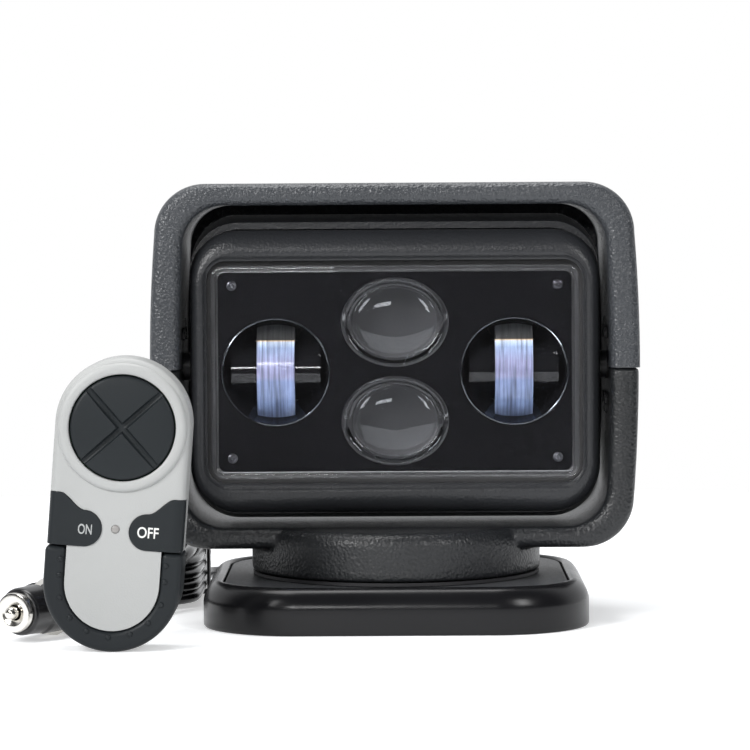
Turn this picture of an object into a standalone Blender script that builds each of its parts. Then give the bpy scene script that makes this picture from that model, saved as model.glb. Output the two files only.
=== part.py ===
"""Remote-controlled marine searchlight on a rubber magnet shoe, with its handheld remote and supply cord.

Metres, +Z up, the lamp faces -Y. The origin is the middle of the shoe's underside, on the pan axis.
The yoke and lamp head turn about Z on the shoe, and the head tilts about X inside the yoke.
"""

import math

import bmesh
import bpy
from mathutils import Vector

MM = 0.001

# Clearances
FIT = 0.3 * MM
RUNNING = 0.4 * MM
SAME = 0.001 * MM
BACKLASH = 0.15 * MM

# Rubber shoe and base plate
SHOE_REACH_W = 19 * MM
SHOE_REACH_D = 12 * MM
SHOE_CORNER = 40 * MM
SHOE_HEIGHT = 20.2 * MM
SHOE_WALL = 8.3 * MM
SHOE_FLOOR = 5 * MM
MAGNET_R = 14 * MM
MAGNET_H = 3.5 * MM
MAGNET_INSET = 38 * MM
KEEPER_T = 1.6 * MM
BASE_SINK = 1.8 * MM
BASE_SKIN = 3.9 * MM
BASE_WALL = 2.5 * MM

# Pan bearing and drive
POST_R = 12 * MM
POST_BORE_R = 8 * MM
POST_BORE_FLARE = 4 * MM
POST_FLANGE_R = 20 * MM
POST_FLANGE_H = 3 * MM
POST_SCREW_PITCH_R = 16 * MM
RETAINER_R = 17 * MM
RETAINER_H = 2 * MM
RING_TEETH = 48
PAN_PINION_TEETH = 12
RING_GEAR_RIM = 6 * MM
RING_GEAR_H = 5 * MM
BEARING_H = 1.3 * MM
PAN_MOTOR_R = 14 * MM
PAN_MOTOR_H = 8.7 * MM
PAN_MOTOR_GAP = 1.65 * MM
SHAFT_R = 1.5 * MM

# Turret, the round foot of the lower housing
TURRET_R = 61 * MM
TURRET_WALL = 3.2 * MM
TURRET_TOP_WALL = 3 * MM
TURRET_EDGE = 5 * MM
CHASSIS_GAP = 1.5 * MM
CHASSIS_H = 2.5 * MM
BOARD_HALF_W = 28 * MM
BOARD_GAP = MM
BOSS_INSET = 11 * MM
BOSS_R = 4 * MM

# Lamp head
HEAD_R = 64 * MM
HEAD_HALF_W = 85.5 * MM
HEAD_SIDE_R = 20 * MM
HEAD_WALL = 2.5 * MM
SPLIT_Y = -20 * MM
BEZEL_DEPTH = 9.5 * MM
BEZEL_DROP = 5 * MM
BEZEL_CORNER = 20 * MM
BEZEL_EDGE = 9 * MM
BEZEL_SIDE_WALL = 2.8 * MM
BEZEL_TOP_WALL = 5.2 * MM
BEZEL_SIDE_RIM = 7.3 * MM
BEZEL_TOP_RIM = 12.6 * MM
LAMP_DROP = 1.4 * MM
WINDOW_CORNER = 8 * MM
LAMP_FLANGE_SINK = 7 * MM
LAMP_FLANGE_CORNER = 16 * MM
LAMP_FLANGE_T = 2.4 * MM
GASKET_T = 1.4 * MM
CARRIER_T = 2.5 * MM
CARRIER_GAP = 0.8 * MM
LENS_SIDE_GAP = 1.9 * MM
LENS_TOP_GAP = 2.2 * MM
LENS_CORNER = 5 * MM
LENS_SINK = 2 * MM
LENS_RIM = 0.8 * MM
LENS_GLASS_T = 2.2 * MM
CASE_RIM_W = 8.4 * MM
CASE_RIM_H = 8.5 * MM
CASE_DEPTH = 26.5 * MM
CAVITY_SIDE_WALL = 1.2 * MM
CAVITY_TOP_WALL = 5 * MM
CAVITY_CORNER = 24 * MM
CAVITY_FLOOR_T = 8 * MM
FIN_DEPTH = 6.5 * MM
FIN_T = 1.8 * MM
FIN_COUNT = 9
MASK_T = 1.2 * MM
BOARD_T = 1.6 * MM
MODULE_INSET = 26.6 * MM
MODULE_R = 22.6 * MM
DRUM_R = 12.3 * MM
STRIP_R = 25 * MM
STRIP_HALF_W = 8 * MM
STRIP_HALF_H = 20.5 * MM
PROJECTOR_EDGE_GAP = 5 * MM
PROJECTOR_MIDDLE_GAP = 2 * MM
PROJECTOR_SIDE_GAP = 4.7 * MM
LENS_SCREW_INSET_X = 8.5 * MM
LENS_SCREW_INSET_Z = 8.2 * MM

# Yoke frame, split at the tilt axis
HEAD_SIDE_GAP = 3.8 * MM
HEAD_TOP_GAP = 4 * MM
HEAD_BOTTOM_GAP = 1.8 * MM
FLOOR_STEP = 0.2 * MM
YOKE_SIDE_T = 11.7 * MM
YOKE_TOP_T = 9 * MM
YOKE_BOTTOM_T = 8.7 * MM
YOKE_HALF_D = 36 * MM
YOKE_CORNER = 21 * MM
YOKE_EDGE = 4.2 * MM
YOKE_BULGE = 0.042
YOKE_STEP = 0.5 * MM
OPENING_CORNER = 17 * MM
LIP_SIDE = 2.4 * MM
LIP_TOP = 6 * MM
LIP_BOTTOM = 0.6 * MM
LIP_T = 4.5 * MM
LIP_EDGE = 1.2 * MM

# Trunnions, bushes and tilt drive
TRUNNION_R = 6 * MM
TRUNNION_BORE_R = 3.5 * MM
FLANGE_HALF_Y = 12 * MM
FLANGE_HALF_Z = 20 * MM
FLANGE_T = 2.6 * MM
FLANGE_SCREW_Y = 7.5 * MM
FLANGE_SCREW_Z = 14 * MM
BUSH_R = 9 * MM
BUSH_FLANGE_R = 12 * MM
BUSH_FLANGE_T = 3 * MM
TILT_GEAR_TEETH = 40
TILT_PINION_TEETH = 12
TILT_GEAR_T = 3.6 * MM
TILT_GEAR_GAP = 0.48 * MM
TILT_MOTOR_R = 9.5 * MM
TILT_MOTOR_L = 30 * MM
BRACKET_T = 2 * MM

# Handheld remote, stood up at the front left
REMOTE_X = -113 * MM
REMOTE_Y = -105 * MM
REMOTE_LEAN = math.radians(4.5)
REMOTE_LIFT = 0.6 * MM
REMOTE_HALF_W = 26.5 * MM
REMOTE_HALF_H = 57.5 * MM
REMOTE_HALF_D = 12.5 * MM
REMOTE_WALL = 2.2 * MM
GRIP_BAND = 7.9 * MM
PAD_RING_INSET = 1.1 * MM
PAD_RING_W = 5.1 * MM
PAD_RING_RISE = 1.6 * MM
PAD_TOP_GAP = 0.9 * MM
PAD_GAP = 0.6 * MM
KEY_DROP = 26.6 * MM
KEY_H = 20.6 * MM
KEY_REACH = 13.3 * MM
KEY_NOSE_R = 7.1 * MM
KEY_SHOULDER = 4 * MM
KEY_STEM_R = 2.2 * MM
LED_RISE = 7.5 * MM
LED_R = 1.6 * MM
BATTERY_R = 4.9 * MM
BATTERY_L = 28.5 * MM
DOOR_HALF_W = 12 * MM
DOOR_HALF_H = 21 * MM

# Supply cord, its gland, stored hank and lighter plug
CORD_R = 2.5 * MM
CORES_R = 1.6 * MM
GLAND_X = -35 * MM
GLAND_Z = 10 * MM
GLAND_R = 5 * MM
GLAND_FLANGE_R = 6.8 * MM
GLAND_TIP_R = 3.4 * MM
GLAND_REACH = 24 * MM
HANK_X = -112.5 * MM
HANK_Y = 79.5 * MM
HANK_HALF_W = 27.5 * MM
HANK_HALF_L = 67.5 * MM
HANK_H = 25 * MM
TIE_T = 1.2 * MM
TIE_W = 9 * MM
PLUG_NOSE = Vector((-153 * MM, -88 * MM, 12.2 * MM))
PLUG_TURN = math.radians(-30)
PLUG_R = 10.5 * MM
PLUG_BODY_L = 58 * MM
PLUG_RING_R = 8 * MM
PLUG_TIP_R = 2.6 * MM

# Heights of the base, bearing and turret, from the floor up
BASE_TOP = SHOE_HEIGHT - BASE_SINK
SEAT_Z = BASE_TOP + FIT
TURRET_BOTTOM = SEAT_Z + BEARING_H + FIT
CHASSIS_Z = SEAT_Z + RING_GEAR_H + CHASSIS_GAP
TURRET_TOP = CHASSIS_Z + CHASSIS_H + FIT + PAN_MOTOR_H + FIT + TURRET_TOP_WALL

# Widths and depths that follow the turret
SHOE_HALF_W = TURRET_R + SHOE_REACH_W
SHOE_HALF_D = TURRET_R + SHOE_REACH_D
MAGNET_X = SHOE_HALF_W - MAGNET_INSET
MAGNET_Y = SHOE_HALF_D - MAGNET_INSET
BOSS_PITCH_R = TURRET_R - BOSS_INSET
PAN_CENTRE_DISTANCE = TURRET_R - TURRET_WALL - PAN_MOTOR_R - PAN_MOTOR_GAP
GEAR_MODULE = 2 * (PAN_CENTRE_DISTANCE - BACKLASH) / (RING_TEETH + PAN_PINION_TEETH)
GLAND_TIP_Y = SHOE_HALF_D + GLAND_REACH

# Yoke round the head
OPENING_BOTTOM = TURRET_TOP + FLOOR_STEP
TILT_Z = OPENING_BOTTOM + HEAD_BOTTOM_GAP + HEAD_R
OPENING_TOP = TILT_Z + HEAD_R + HEAD_TOP_GAP
OPENING_HALF_W = HEAD_HALF_W + HEAD_SIDE_GAP
YOKE_HALF_W = OPENING_HALF_W + YOKE_SIDE_T
YOKE_TOP = OPENING_TOP + YOKE_TOP_T
YOKE_BOTTOM = OPENING_BOTTOM - YOKE_BOTTOM_T

# Bezel, window and sealed lamp, from the outside in
BEZEL_FRONT_Y = SPLIT_Y - BEZEL_DEPTH
BEZEL_HALF_H = HEAD_R - BEZEL_DROP
WINDOW_HALF_W = HEAD_HALF_W - BEZEL_SIDE_RIM
WINDOW_HALF_H = BEZEL_HALF_H - BEZEL_TOP_RIM
LENS_HALF_W = WINDOW_HALF_W - LENS_SIDE_GAP
LENS_HALF_H = WINDOW_HALF_H - LENS_TOP_GAP
LENS_FRONT_Y = BEZEL_FRONT_Y + LENS_SINK
FLANGE_FRONT_Y = BEZEL_FRONT_Y + LAMP_FLANGE_SINK
LAMP_FLANGE_HALF_W = HEAD_HALF_W - BEZEL_SIDE_WALL - FIT
LAMP_FLANGE_HALF_H = BEZEL_HALF_H - BEZEL_TOP_WALL - FIT
CASE_HALF_W = LAMP_FLANGE_HALF_W - CASE_RIM_W
CASE_HALF_H = LAMP_FLANGE_HALF_H - CASE_RIM_H
CASE_BACK_Y = FLANGE_FRONT_Y + CASE_DEPTH
CAVITY_FLOOR_Y = CASE_BACK_Y - CAVITY_FLOOR_T
CAVITY_HALF_W = CASE_HALF_W - CAVITY_SIDE_WALL
CAVITY_HALF_H = CASE_HALF_H - CAVITY_TOP_WALL
MODULE_X = LENS_HALF_W - MODULE_INSET
PROJECTOR_HALF_W = MODULE_X - MODULE_R - PROJECTOR_SIDE_GAP
PROJECTOR_HALF_H = (LENS_HALF_H - PROJECTOR_EDGE_GAP - PROJECTOR_MIDDLE_GAP) / 2
PROJECTOR_Z = PROJECTOR_MIDDLE_GAP + PROJECTOR_HALF_H
LENS_SCREW_X = LENS_HALF_W - LENS_SCREW_INSET_X
LENS_SCREW_Z = LENS_HALF_H - LENS_SCREW_INSET_Z

# Tilt gear beside the left bush, as large as the carrier plate leaves room for
TILT_GEAR_TIP_R = -SPLIT_Y - FIT - CARRIER_T - TILT_GEAR_GAP
TOOTH_TIP = 0.9
TOOTH_ROOT = 1.15
TILT_MODULE = TILT_GEAR_TIP_R / (TILT_GEAR_TEETH / 2 + TOOTH_TIP)
TILT_CENTRE_DISTANCE = TILT_MODULE * (TILT_GEAR_TEETH + TILT_PINION_TEETH) / 2 + BACKLASH
TILT_GEAR_X = HEAD_HALF_W - HEAD_WALL - 2 * FIT - BUSH_FLANGE_T - TILT_GEAR_T / 2
TRUNNION_END = TILT_GEAR_X - TILT_GEAR_T / 2 - 0.1 * MM
RING_GEAR_BORE_R = GEAR_MODULE * (RING_TEETH / 2 - TOOTH_ROOT) - RING_GEAR_RIM

# Remote's face, from its round top down
PAD_Z = 2 * REMOTE_HALF_H - REMOTE_HALF_W - PAD_TOP_GAP
PAD_RING_R = REMOTE_HALF_W - PAD_RING_INSET
PAD_R = PAD_RING_R - PAD_RING_W
KEY_HIGH = PAD_Z - KEY_DROP
KEY_LOW = KEY_HIGH - KEY_H
KEY_NOSE_X = REMOTE_HALF_W - GRIP_BAND - KEY_REACH + KEY_NOSE_R
KEY_NOSE_Z = KEY_LOW + KEY_NOSE_R
GRIP_TOP = KEY_LOW - RUNNING
LED_Z = KEY_LOW + LED_RISE


def clear_scene():
    for old in list(bpy.data.objects):
        bpy.data.objects.remove(old, do_unlink=True)


def material(name, colour, roughness, metallic=0.0):
    """A Principled material, made once for each name."""
    made = bpy.data.materials.get(name)
    if made is None:
        made = bpy.data.materials.new(name)
        made.use_nodes = True
        shader = made.node_tree.nodes["Principled BSDF"]
        shader.inputs["Base Color"].default_value = (*colour, 1.0)
        shader.inputs["Roughness"].default_value = roughness
        shader.inputs["Metallic"].default_value = metallic
    return made


def empty(name, location, parent=None):
    made = bpy.data.objects.new(name, None)
    bpy.context.collection.objects.link(made)
    made.location = location
    made.parent = parent
    return made


def finish(name, bm, skin, parent=None, smooth=32):
    """Turn a bmesh into an object whose faces point out."""
    bmesh.ops.recalc_face_normals(bm, faces=bm.faces)
    mesh = bpy.data.meshes.new(name)
    bm.to_mesh(mesh)
    bm.free()
    mesh.shade_smooth()
    mesh.set_sharp_from_angle(angle=math.radians(smooth))
    made = bpy.data.objects.new(name, mesh)
    bpy.context.collection.objects.link(made)
    if skin is not None:
        mesh.materials.append(skin)
    made.parent = parent
    return made


def combine(target, tools, operation):
    """Add, cut or intersect helper shapes, which stay out of the model themselves."""
    for tool in tools:
        tool.hide_render = True
        tool.display_type = "WIRE"
        step = target.modifiers.new(f"{operation.lower()}_{tool.name}", "BOOLEAN")
        step.operation = operation
        step.solver = "EXACT"
        step.object = tool
    return target


def cut(target, *tools):
    return combine(target, tools, "DIFFERENCE")


def add(target, *tools):
    return combine(target, tools, "UNION")


def keep(target, *tools):
    return combine(target, tools, "INTERSECT")


def bevel(target, width, segments=2, angle=40):
    step = target.modifiers.new("edges", "BEVEL")
    step.width = width
    step.segments = segments
    step.limit_method = "ANGLE"
    step.angle_limit = math.radians(angle)
    return target


def rounded_rect(half_w, half_h, radius, steps=6):
    """Corner arcs of a rounded rectangle, anticlockwise from the right side."""
    radius = max(min(radius, half_w, half_h), 0.2 * MM)
    points = []
    for quarter in range(4):
        sx, sy = ((1, 1), (-1, 1), (-1, -1), (1, -1))[quarter]
        centre = (sx * (half_w - radius), sy * (half_h - radius))
        for i in range(steps + 1):
            turn = math.radians(90 * quarter + 90 * i / steps)
            point = (centre[0] + radius * math.cos(turn), centre[1] + radius * math.sin(turn))
            if not points or math.dist(point, points[-1]) > SAME:
                points.append(point)
    if math.dist(points[0], points[-1]) < SAME:
        points.pop()
    return points


def circle(radius, steps=24, centre=(0, 0), ratio=1.0):
    """Points of a circle, or of an ellipse whose height is ratio times its width."""
    turns = [2 * math.pi * i / steps for i in range(steps)]
    return [(centre[0] + radius * math.cos(t), centre[1] + ratio * radius * math.sin(t)) for t in turns]


def lay_xy(point, depth):
    return (point[0], point[1], depth)


def lay_xz(point, depth):
    return (point[0], depth, point[1])


def lay_yz(point, depth):
    return (depth, point[0], point[1])


def loft(name, sections, skin, parent=None, closed=False, smooth=32):
    """Skin a row of rings that have the same number of points. A closed row joins last to first."""
    bm = bmesh.new()
    rings = [[bm.verts.new(p) for p in section] for section in sections]
    count = len(rings[0])
    pairs = list(zip(rings, rings[1:]))
    if closed:
        pairs.append((rings[-1], rings[0]))
    for one, two in pairs:
        for i in range(count):
            j = (i + 1) % count
            bm.faces.new((one[i], one[j], two[j], two[i]))
    if not closed:
        bm.faces.new(rings[0])
        bm.faces.new(rings[-1])
    return finish(name, bm, skin, parent, smooth)


def tray(name, half_w, half_h, radius, profile, skin, parent=None, lay=lay_xy, closed=False,
         middle=(0, 0), steps=6):
    """Rounded rectangles, each inset and set at a depth by one (inset, depth) pair of the profile."""
    sections = []
    for inset, depth in profile:
        outline = rounded_rect(half_w - inset, half_h - inset, radius - inset, steps)
        sections.append([lay((x + middle[0], y + middle[1]), depth) for x, y in outline])
    return loft(name, sections, skin, parent, closed)


def prism(name, outline, low, high, skin=None, parent=None, lay=lay_xy):
    """An outline pushed from one depth to another."""
    sections = [[lay(p, low) for p in outline], [lay(p, high) for p in outline]]
    return loft(name, sections, skin, parent)


def turned(name, profile, skin, parent=None, lay=lay_xy, steps=24, centre=(0, 0), closed=False):
    """Circles, each with the radius and depth of one (radius, depth) pair of the profile."""
    sections = [[lay(p, depth) for p in circle(radius, steps, centre)] for radius, depth in profile]
    return loft(name, sections, skin, parent, closed)


def tube(name, outer_r, inner_r, low, high, skin, parent=None, lay=lay_xy, steps=24, centre=(0, 0)):
    """A plain ring or sleeve."""
    profile = [(outer_r, low), (outer_r, high), (inner_r, high), (inner_r, low)]
    return turned(name, profile, skin, parent, lay, steps, centre, closed=True)


def screw(name, lay, centre, head_r, shank_r, head_from, head_to, end, parent=None, steps=8):
    """A pan-head screw from its head to its end, as a helper that is joined to the piece it holds."""
    profile = [(head_r, head_from), (head_r, head_to), (shank_r, head_to), (shank_r, end)]
    return turned(name, profile, None, parent, lay=lay, centre=centre, steps=steps)


def gear_outline(teeth, module, turn=0.0, half_step=False):
    """A straight-flanked spur gear with a tooth at the angle turn, or a gap there after a half step."""
    pitch_r = module * teeth / 2
    first = 0.5 if half_step else 0.0
    points = []
    for i in range(teeth):
        for share, reach in ((-0.26, -TOOTH_ROOT), (-0.11, TOOTH_TIP), (0.11, TOOTH_TIP),
                             (0.26, -TOOTH_ROOT)):
            t = turn + 2 * math.pi * (i + first + share) / teeth
            radius = pitch_r + reach * module
            points.append((radius * math.cos(t), radius * math.sin(t)))
    return points


def gear(name, teeth, module, bore_r, low, high, skin, parent, lay=lay_xy, turn=0.0, half_step=False):
    """A spur gear with a round bore."""
    blank = prism(name, gear_outline(teeth, module, turn, half_step), low, high, skin, parent, lay)
    bore = turned(f"{name}_bore", [(bore_r, low - MM), (bore_r, high + MM)], None, parent, lay, steps=24)
    return cut(blank, bore)


def colours():
    """The materials, named for what they are."""
    return {
        "housing": material("textured_black_plastic", (0.035, 0.037, 0.040), 0.55),
        "shell": material("smooth_black_plastic", (0.030, 0.031, 0.034), 0.38),
        "rubber": material("black_rubber", (0.020, 0.021, 0.022), 0.35),
        "steel": material("bright_steel", (0.62, 0.62, 0.60), 0.30, 1.0),
        "acetal": material("white_acetal", (0.78, 0.77, 0.72), 0.45),
        "motor": material("motor_steel", (0.45, 0.45, 0.46), 0.40, 1.0),
        "board": material("green_board", (0.02, 0.16, 0.07), 0.45),
        "magnet": material("nickel_magnet", (0.55, 0.54, 0.52), 0.25, 1.0),
        "case": material("die_cast_black", (0.025, 0.025, 0.027), 0.45, 0.3),
        "gloss": material("gloss_black", (0.012, 0.012, 0.014), 0.10),
        "glass": material("clear_lens", (0.16, 0.17, 0.18), 0.05),
        "strip": material("frosted_lens", (0.66, 0.71, 0.86), 0.35),
        "pale": material("pale_grey_plastic", (0.72, 0.73, 0.71), 0.40),
        "slate": material("slate_rubber", (0.045, 0.050, 0.056), 0.60),
        "cable": material("black_cable", (0.015, 0.015, 0.016), 0.30),
        "nickel": material("nickel_plate", (0.70, 0.68, 0.62), 0.22, 1.0),
    }


def build_shoe(skins):
    """Rubber shoe with a rolled lip, a pocket for the base plate and blind pockets for four magnets."""
    lip = SHOE_HEIGHT
    profile = [(1.2 * MM, 0), (0, 1.2 * MM), (0, 10.5 * MM), (0.5 * MM, 13 * MM), (2 * MM, 16 * MM),
               (4.2 * MM, lip - 1.3 * MM), (6.4 * MM, lip), (7.6 * MM, lip - 0.2 * MM),
               (SHOE_WALL, lip - 1.2 * MM), (SHOE_WALL, SHOE_FLOOR)]
    shoe = tray("rubber_shoe", SHOE_HALF_W, SHOE_HALF_D, SHOE_CORNER, profile, skins["rubber"], steps=6)
    pockets = []
    pots = []
    magnet_z = SHOE_FLOOR - FIT - MAGNET_H
    keeper_z = SHOE_FLOOR + FIT
    for i, (sx, sy) in enumerate(((1, 1), (-1, 1), (-1, -1), (1, -1))):
        spot = (sx * MAGNET_X, sy * MAGNET_Y)
        hole = [(MAGNET_R + FIT, magnet_z - FIT), (MAGNET_R + FIT, SHOE_FLOOR + MM)]
        pockets.append(turned(f"magnet_pocket_{i}", hole, None, centre=spot, steps=10))
        pots.append(turned(f"magnet_{i}", [(MAGNET_R, magnet_z), (MAGNET_R, keeper_z + KEEPER_T / 2)], None,
                           centre=spot, steps=10))
    way = [(GLAND_R + FIT, SHOE_HALF_D - SHOE_WALL - 4 * MM), (GLAND_R + FIT, SHOE_HALF_D + 2 * MM)]
    pockets.append(turned("gland_way", way, None, lay=lay_xz, centre=(GLAND_X, GLAND_Z), steps=16))
    cut(shoe, *pockets)
    keeper = tray("magnet_keeper", MAGNET_X + MAGNET_R + 2 * MM, MAGNET_Y + MAGNET_R + 2 * MM, 12 * MM,
                  [(0, keeper_z), (0, keeper_z + KEEPER_T)], skins["magnet"], steps=4)
    add(keeper, *pots)


def build_base_plate(skins):
    """Base plate that the rubber shoe holds, hollow below, with the post, its flange and its screws."""
    inset = SHOE_WALL + FIT
    half_w = SHOE_HALF_W - inset
    half_d = SHOE_HALF_D - inset
    corner = SHOE_CORNER - inset
    foot = SHOE_FLOOR + FIT
    profile = [(BASE_WALL, BASE_TOP - BASE_SKIN), (BASE_WALL, foot), (0, foot), (0, BASE_TOP - 1.2 * MM),
               (0.4 * MM, BASE_TOP - 0.4 * MM), (1.2 * MM, BASE_TOP)]
    plate = tray("base_plate", half_w, half_d, corner, profile, skins["housing"], steps=6)
    ceiling = BASE_TOP - BASE_SKIN
    holes = [turned("post_hole", [(POST_R + FIT, foot), (POST_R + FIT, BASE_TOP + MM)], None)]
    way = [(GLAND_R + FIT, half_d - 2 * BASE_WALL), (GLAND_R + FIT, half_d + MM)]
    holes.append(turned("plate_gland_way", way, None, lay=lay_xz, centre=(GLAND_X, GLAND_Z), steps=16))
    flange_top = ceiling - FIT
    flange_low = flange_top - POST_FLANGE_H
    retainer_z = CHASSIS_Z + CHASSIS_H + FIT
    post = turned("pan_post", [(POST_FLANGE_R, flange_low), (POST_FLANGE_R, flange_top),
                               (POST_R, flange_top), (POST_R, retainer_z + RETAINER_H + MM),
                               (POST_BORE_R, retainer_z + RETAINER_H + MM), (POST_BORE_R, flange_top),
                               (POST_BORE_R + POST_BORE_FLARE, flange_low)],
                  skins["steel"], closed=True)
    shank_r = 1.3 * MM
    screw_top = BASE_TOP - 0.8 * MM
    screws = []
    clear = []
    for i in range(4):
        turn = math.radians(90 * i)
        spot = (POST_SCREW_PITCH_R * math.cos(turn), POST_SCREW_PITCH_R * math.sin(turn))
        hole = [(shank_r + FIT, flange_low - MM), (shank_r + FIT, screw_top + FIT)]
        clear.append(turned(f"post_screw_hole_{i}", hole, None, centre=spot, steps=8))
        screws.append(screw(f"post_screw_{i}", lay_xy, spot, 2.6 * MM, shank_r, flange_low - 1.6 * MM,
                            flange_low + FIT, screw_top))
    cut(plate, *holes, *clear)
    add(post, *screws)
    tube("pan_retainer", RETAINER_R, POST_R + FIT, retainer_z, retainer_z + RETAINER_H, skins["steel"])
    tube("pan_bearing_ring", TURRET_R - 0.4 * MM, TURRET_R - TURRET_WALL - 0.6 * MM, SEAT_Z,
         SEAT_Z + BEARING_H, skins["shell"], steps=40)
    gear("pan_ring_gear", RING_TEETH, GEAR_MODULE, RING_GEAR_BORE_R, SEAT_Z, SEAT_Z + RING_GEAR_H,
         skins["acetal"], None, turn=math.radians(90))


def yoke_side(edge_z, half_w, corner, side):
    """Outline of half the yoke from its right seam over the top or bottom to its left seam.

    The half width swells towards the seam by the share YOKE_BULGE.
    """
    reach = YOKE_TOP - TILT_Z
    seam = TILT_Z + side * FIT / 2
    shoulder = edge_z - side * corner

    def width_at(z):
        return half_w * (1 - YOKE_BULGE * ((z - TILT_Z) / reach) ** 2)

    right = []
    for i in range(4):
        z = seam + (shoulder - seam) * i / 3
        right.append((width_at(z), z))
    end_w = width_at(shoulder)
    for i in range(1, 7):
        t = math.radians(90 * i / 6)
        right.append((end_w - corner + corner * math.cos(t), shoulder + side * corner * math.sin(t)))
    left = [(-x, z) for x, z in reversed(right)]
    return right + left


def yoke_half(name, outer_z, inner_z, side, swell, end_lip, skin, parent):
    """Half of the yoke: a bar with rounded edges and a lip at its inner rear edge.

    The lip hides the gap round the head. It is LIP_SIDE high at the sides and end_lip at the top or bottom.
    """
    outer = yoke_side(outer_z, YOKE_HALF_W + swell, YOKE_CORNER, side)
    inner = yoke_side(inner_z, OPENING_HALF_W, OPENING_CORNER, side)
    shoulder = abs(inner_z - TILT_Z) - OPENING_CORNER
    rear = YOKE_HALF_D
    sections = []
    for (ox, oz), (ix, iz) in zip(outer, inner):
        across = Vector((ox - ix, 0, oz - iz))
        thick = across.length
        across.normalize()
        lip = LIP_SIDE + (end_lip - LIP_SIDE) * max(0, abs(iz - TILT_Z) - shoulder) / OPENING_CORNER
        tip = -thick / 2 - lip
        points = rounded_rect(thick / 2, rear, YOKE_EDGE, 3)
        points[4:8] = [(tip + lip / 2, rear), (tip, rear - LIP_EDGE), (tip, rear - LIP_T),
                       (-thick / 2, rear - LIP_T)]
        sections.append([Vector((ix, y, iz)) + across * (x + thick / 2) for x, y in points])
    return loft(name, sections, skin, parent)


def build_yoke(skins, pan):
    """Upper and lower housings. The lower one carries the round turret, hollow from below."""
    upper = yoke_half("upper_housing", YOKE_TOP, OPENING_TOP, 1, YOKE_STEP, LIP_TOP, skins["housing"],
                      pan)
    lower = yoke_half("lower_housing", YOKE_BOTTOM, OPENING_BOTTOM, -1, 0.0, LIP_BOTTOM, skins["housing"],
                      pan)
    edge = TURRET_EDGE
    profile = [(TURRET_R - 0.8 * MM, TURRET_BOTTOM), (TURRET_R, TURRET_BOTTOM + 0.8 * MM)]
    for i in range(5):
        t = math.radians(90 * i / 4)
        profile.append((TURRET_R - edge + edge * math.cos(t), TURRET_TOP - edge + edge * math.sin(t)))
    foot = turned("turret_foot", profile, None, pan, steps=44)
    room_top = TURRET_TOP - TURRET_TOP_WALL
    room_r = TURRET_R - TURRET_WALL
    room = turned("turret_room", [(room_r, TURRET_BOTTOM - MM), (room_r, room_top - 1.5 * MM),
                                  (room_r - 1.5 * MM, room_top)], None, pan, steps=32)
    bosses = []
    ways = []
    boss_low = CHASSIS_Z + CHASSIS_H + FIT
    for i in range(3):
        turn = math.radians(30 + 120 * i)
        spot = (BOSS_PITCH_R * math.cos(turn), BOSS_PITCH_R * math.sin(turn))
        bosses.append(turned(f"boss_{i}", [(BOSS_R, boss_low), (BOSS_R, room_top + MM)], None, pan,
                             centre=spot, steps=10))
        ways.append(turned(f"boss_way_{i}", [(1.7 * MM, boss_low - MM), (1.7 * MM, room_top - 1.8 * MM)],
                           None, pan, centre=spot, steps=8))
    add(lower, foot)
    cut(lower, room)
    add(lower, *bosses)
    cut(lower, *ways)
    for sign, hand in ((-1, "left"), (1, "right")):
        outline = rounded_rect(FLANGE_HALF_Y + FIT, FLANGE_HALF_Z + FIT, 3 * MM, 2)
        recess = prism(f"flange_recess_{hand}", outline, sign * (OPENING_HALF_W - 2 * MM),
                       sign * (OPENING_HALF_W + FLANGE_T + FIT), None, pan,
                       lay=lambda p, d: (d, p[0], p[1] + TILT_Z))
        screw_holes = []
        for sy in (-1, 1):
            for sz in (-1, 1):
                spot = (sy * FLANGE_SCREW_Y, TILT_Z + sz * FLANGE_SCREW_Z)
                hole = [(1.7 * MM, sign * (OPENING_HALF_W - 3 * MM)),
                        (1.7 * MM, sign * (YOKE_HALF_W - 4 * MM))]
                screw_holes.append(turned(f"flange_hole_{hand}_{sy}_{sz}", hole, None, pan, lay=lay_yz,
                                          centre=spot, steps=8))
        cut(upper, recess, *screw_holes[1::2])
        cut(lower, recess, *screw_holes[0::2])


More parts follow.
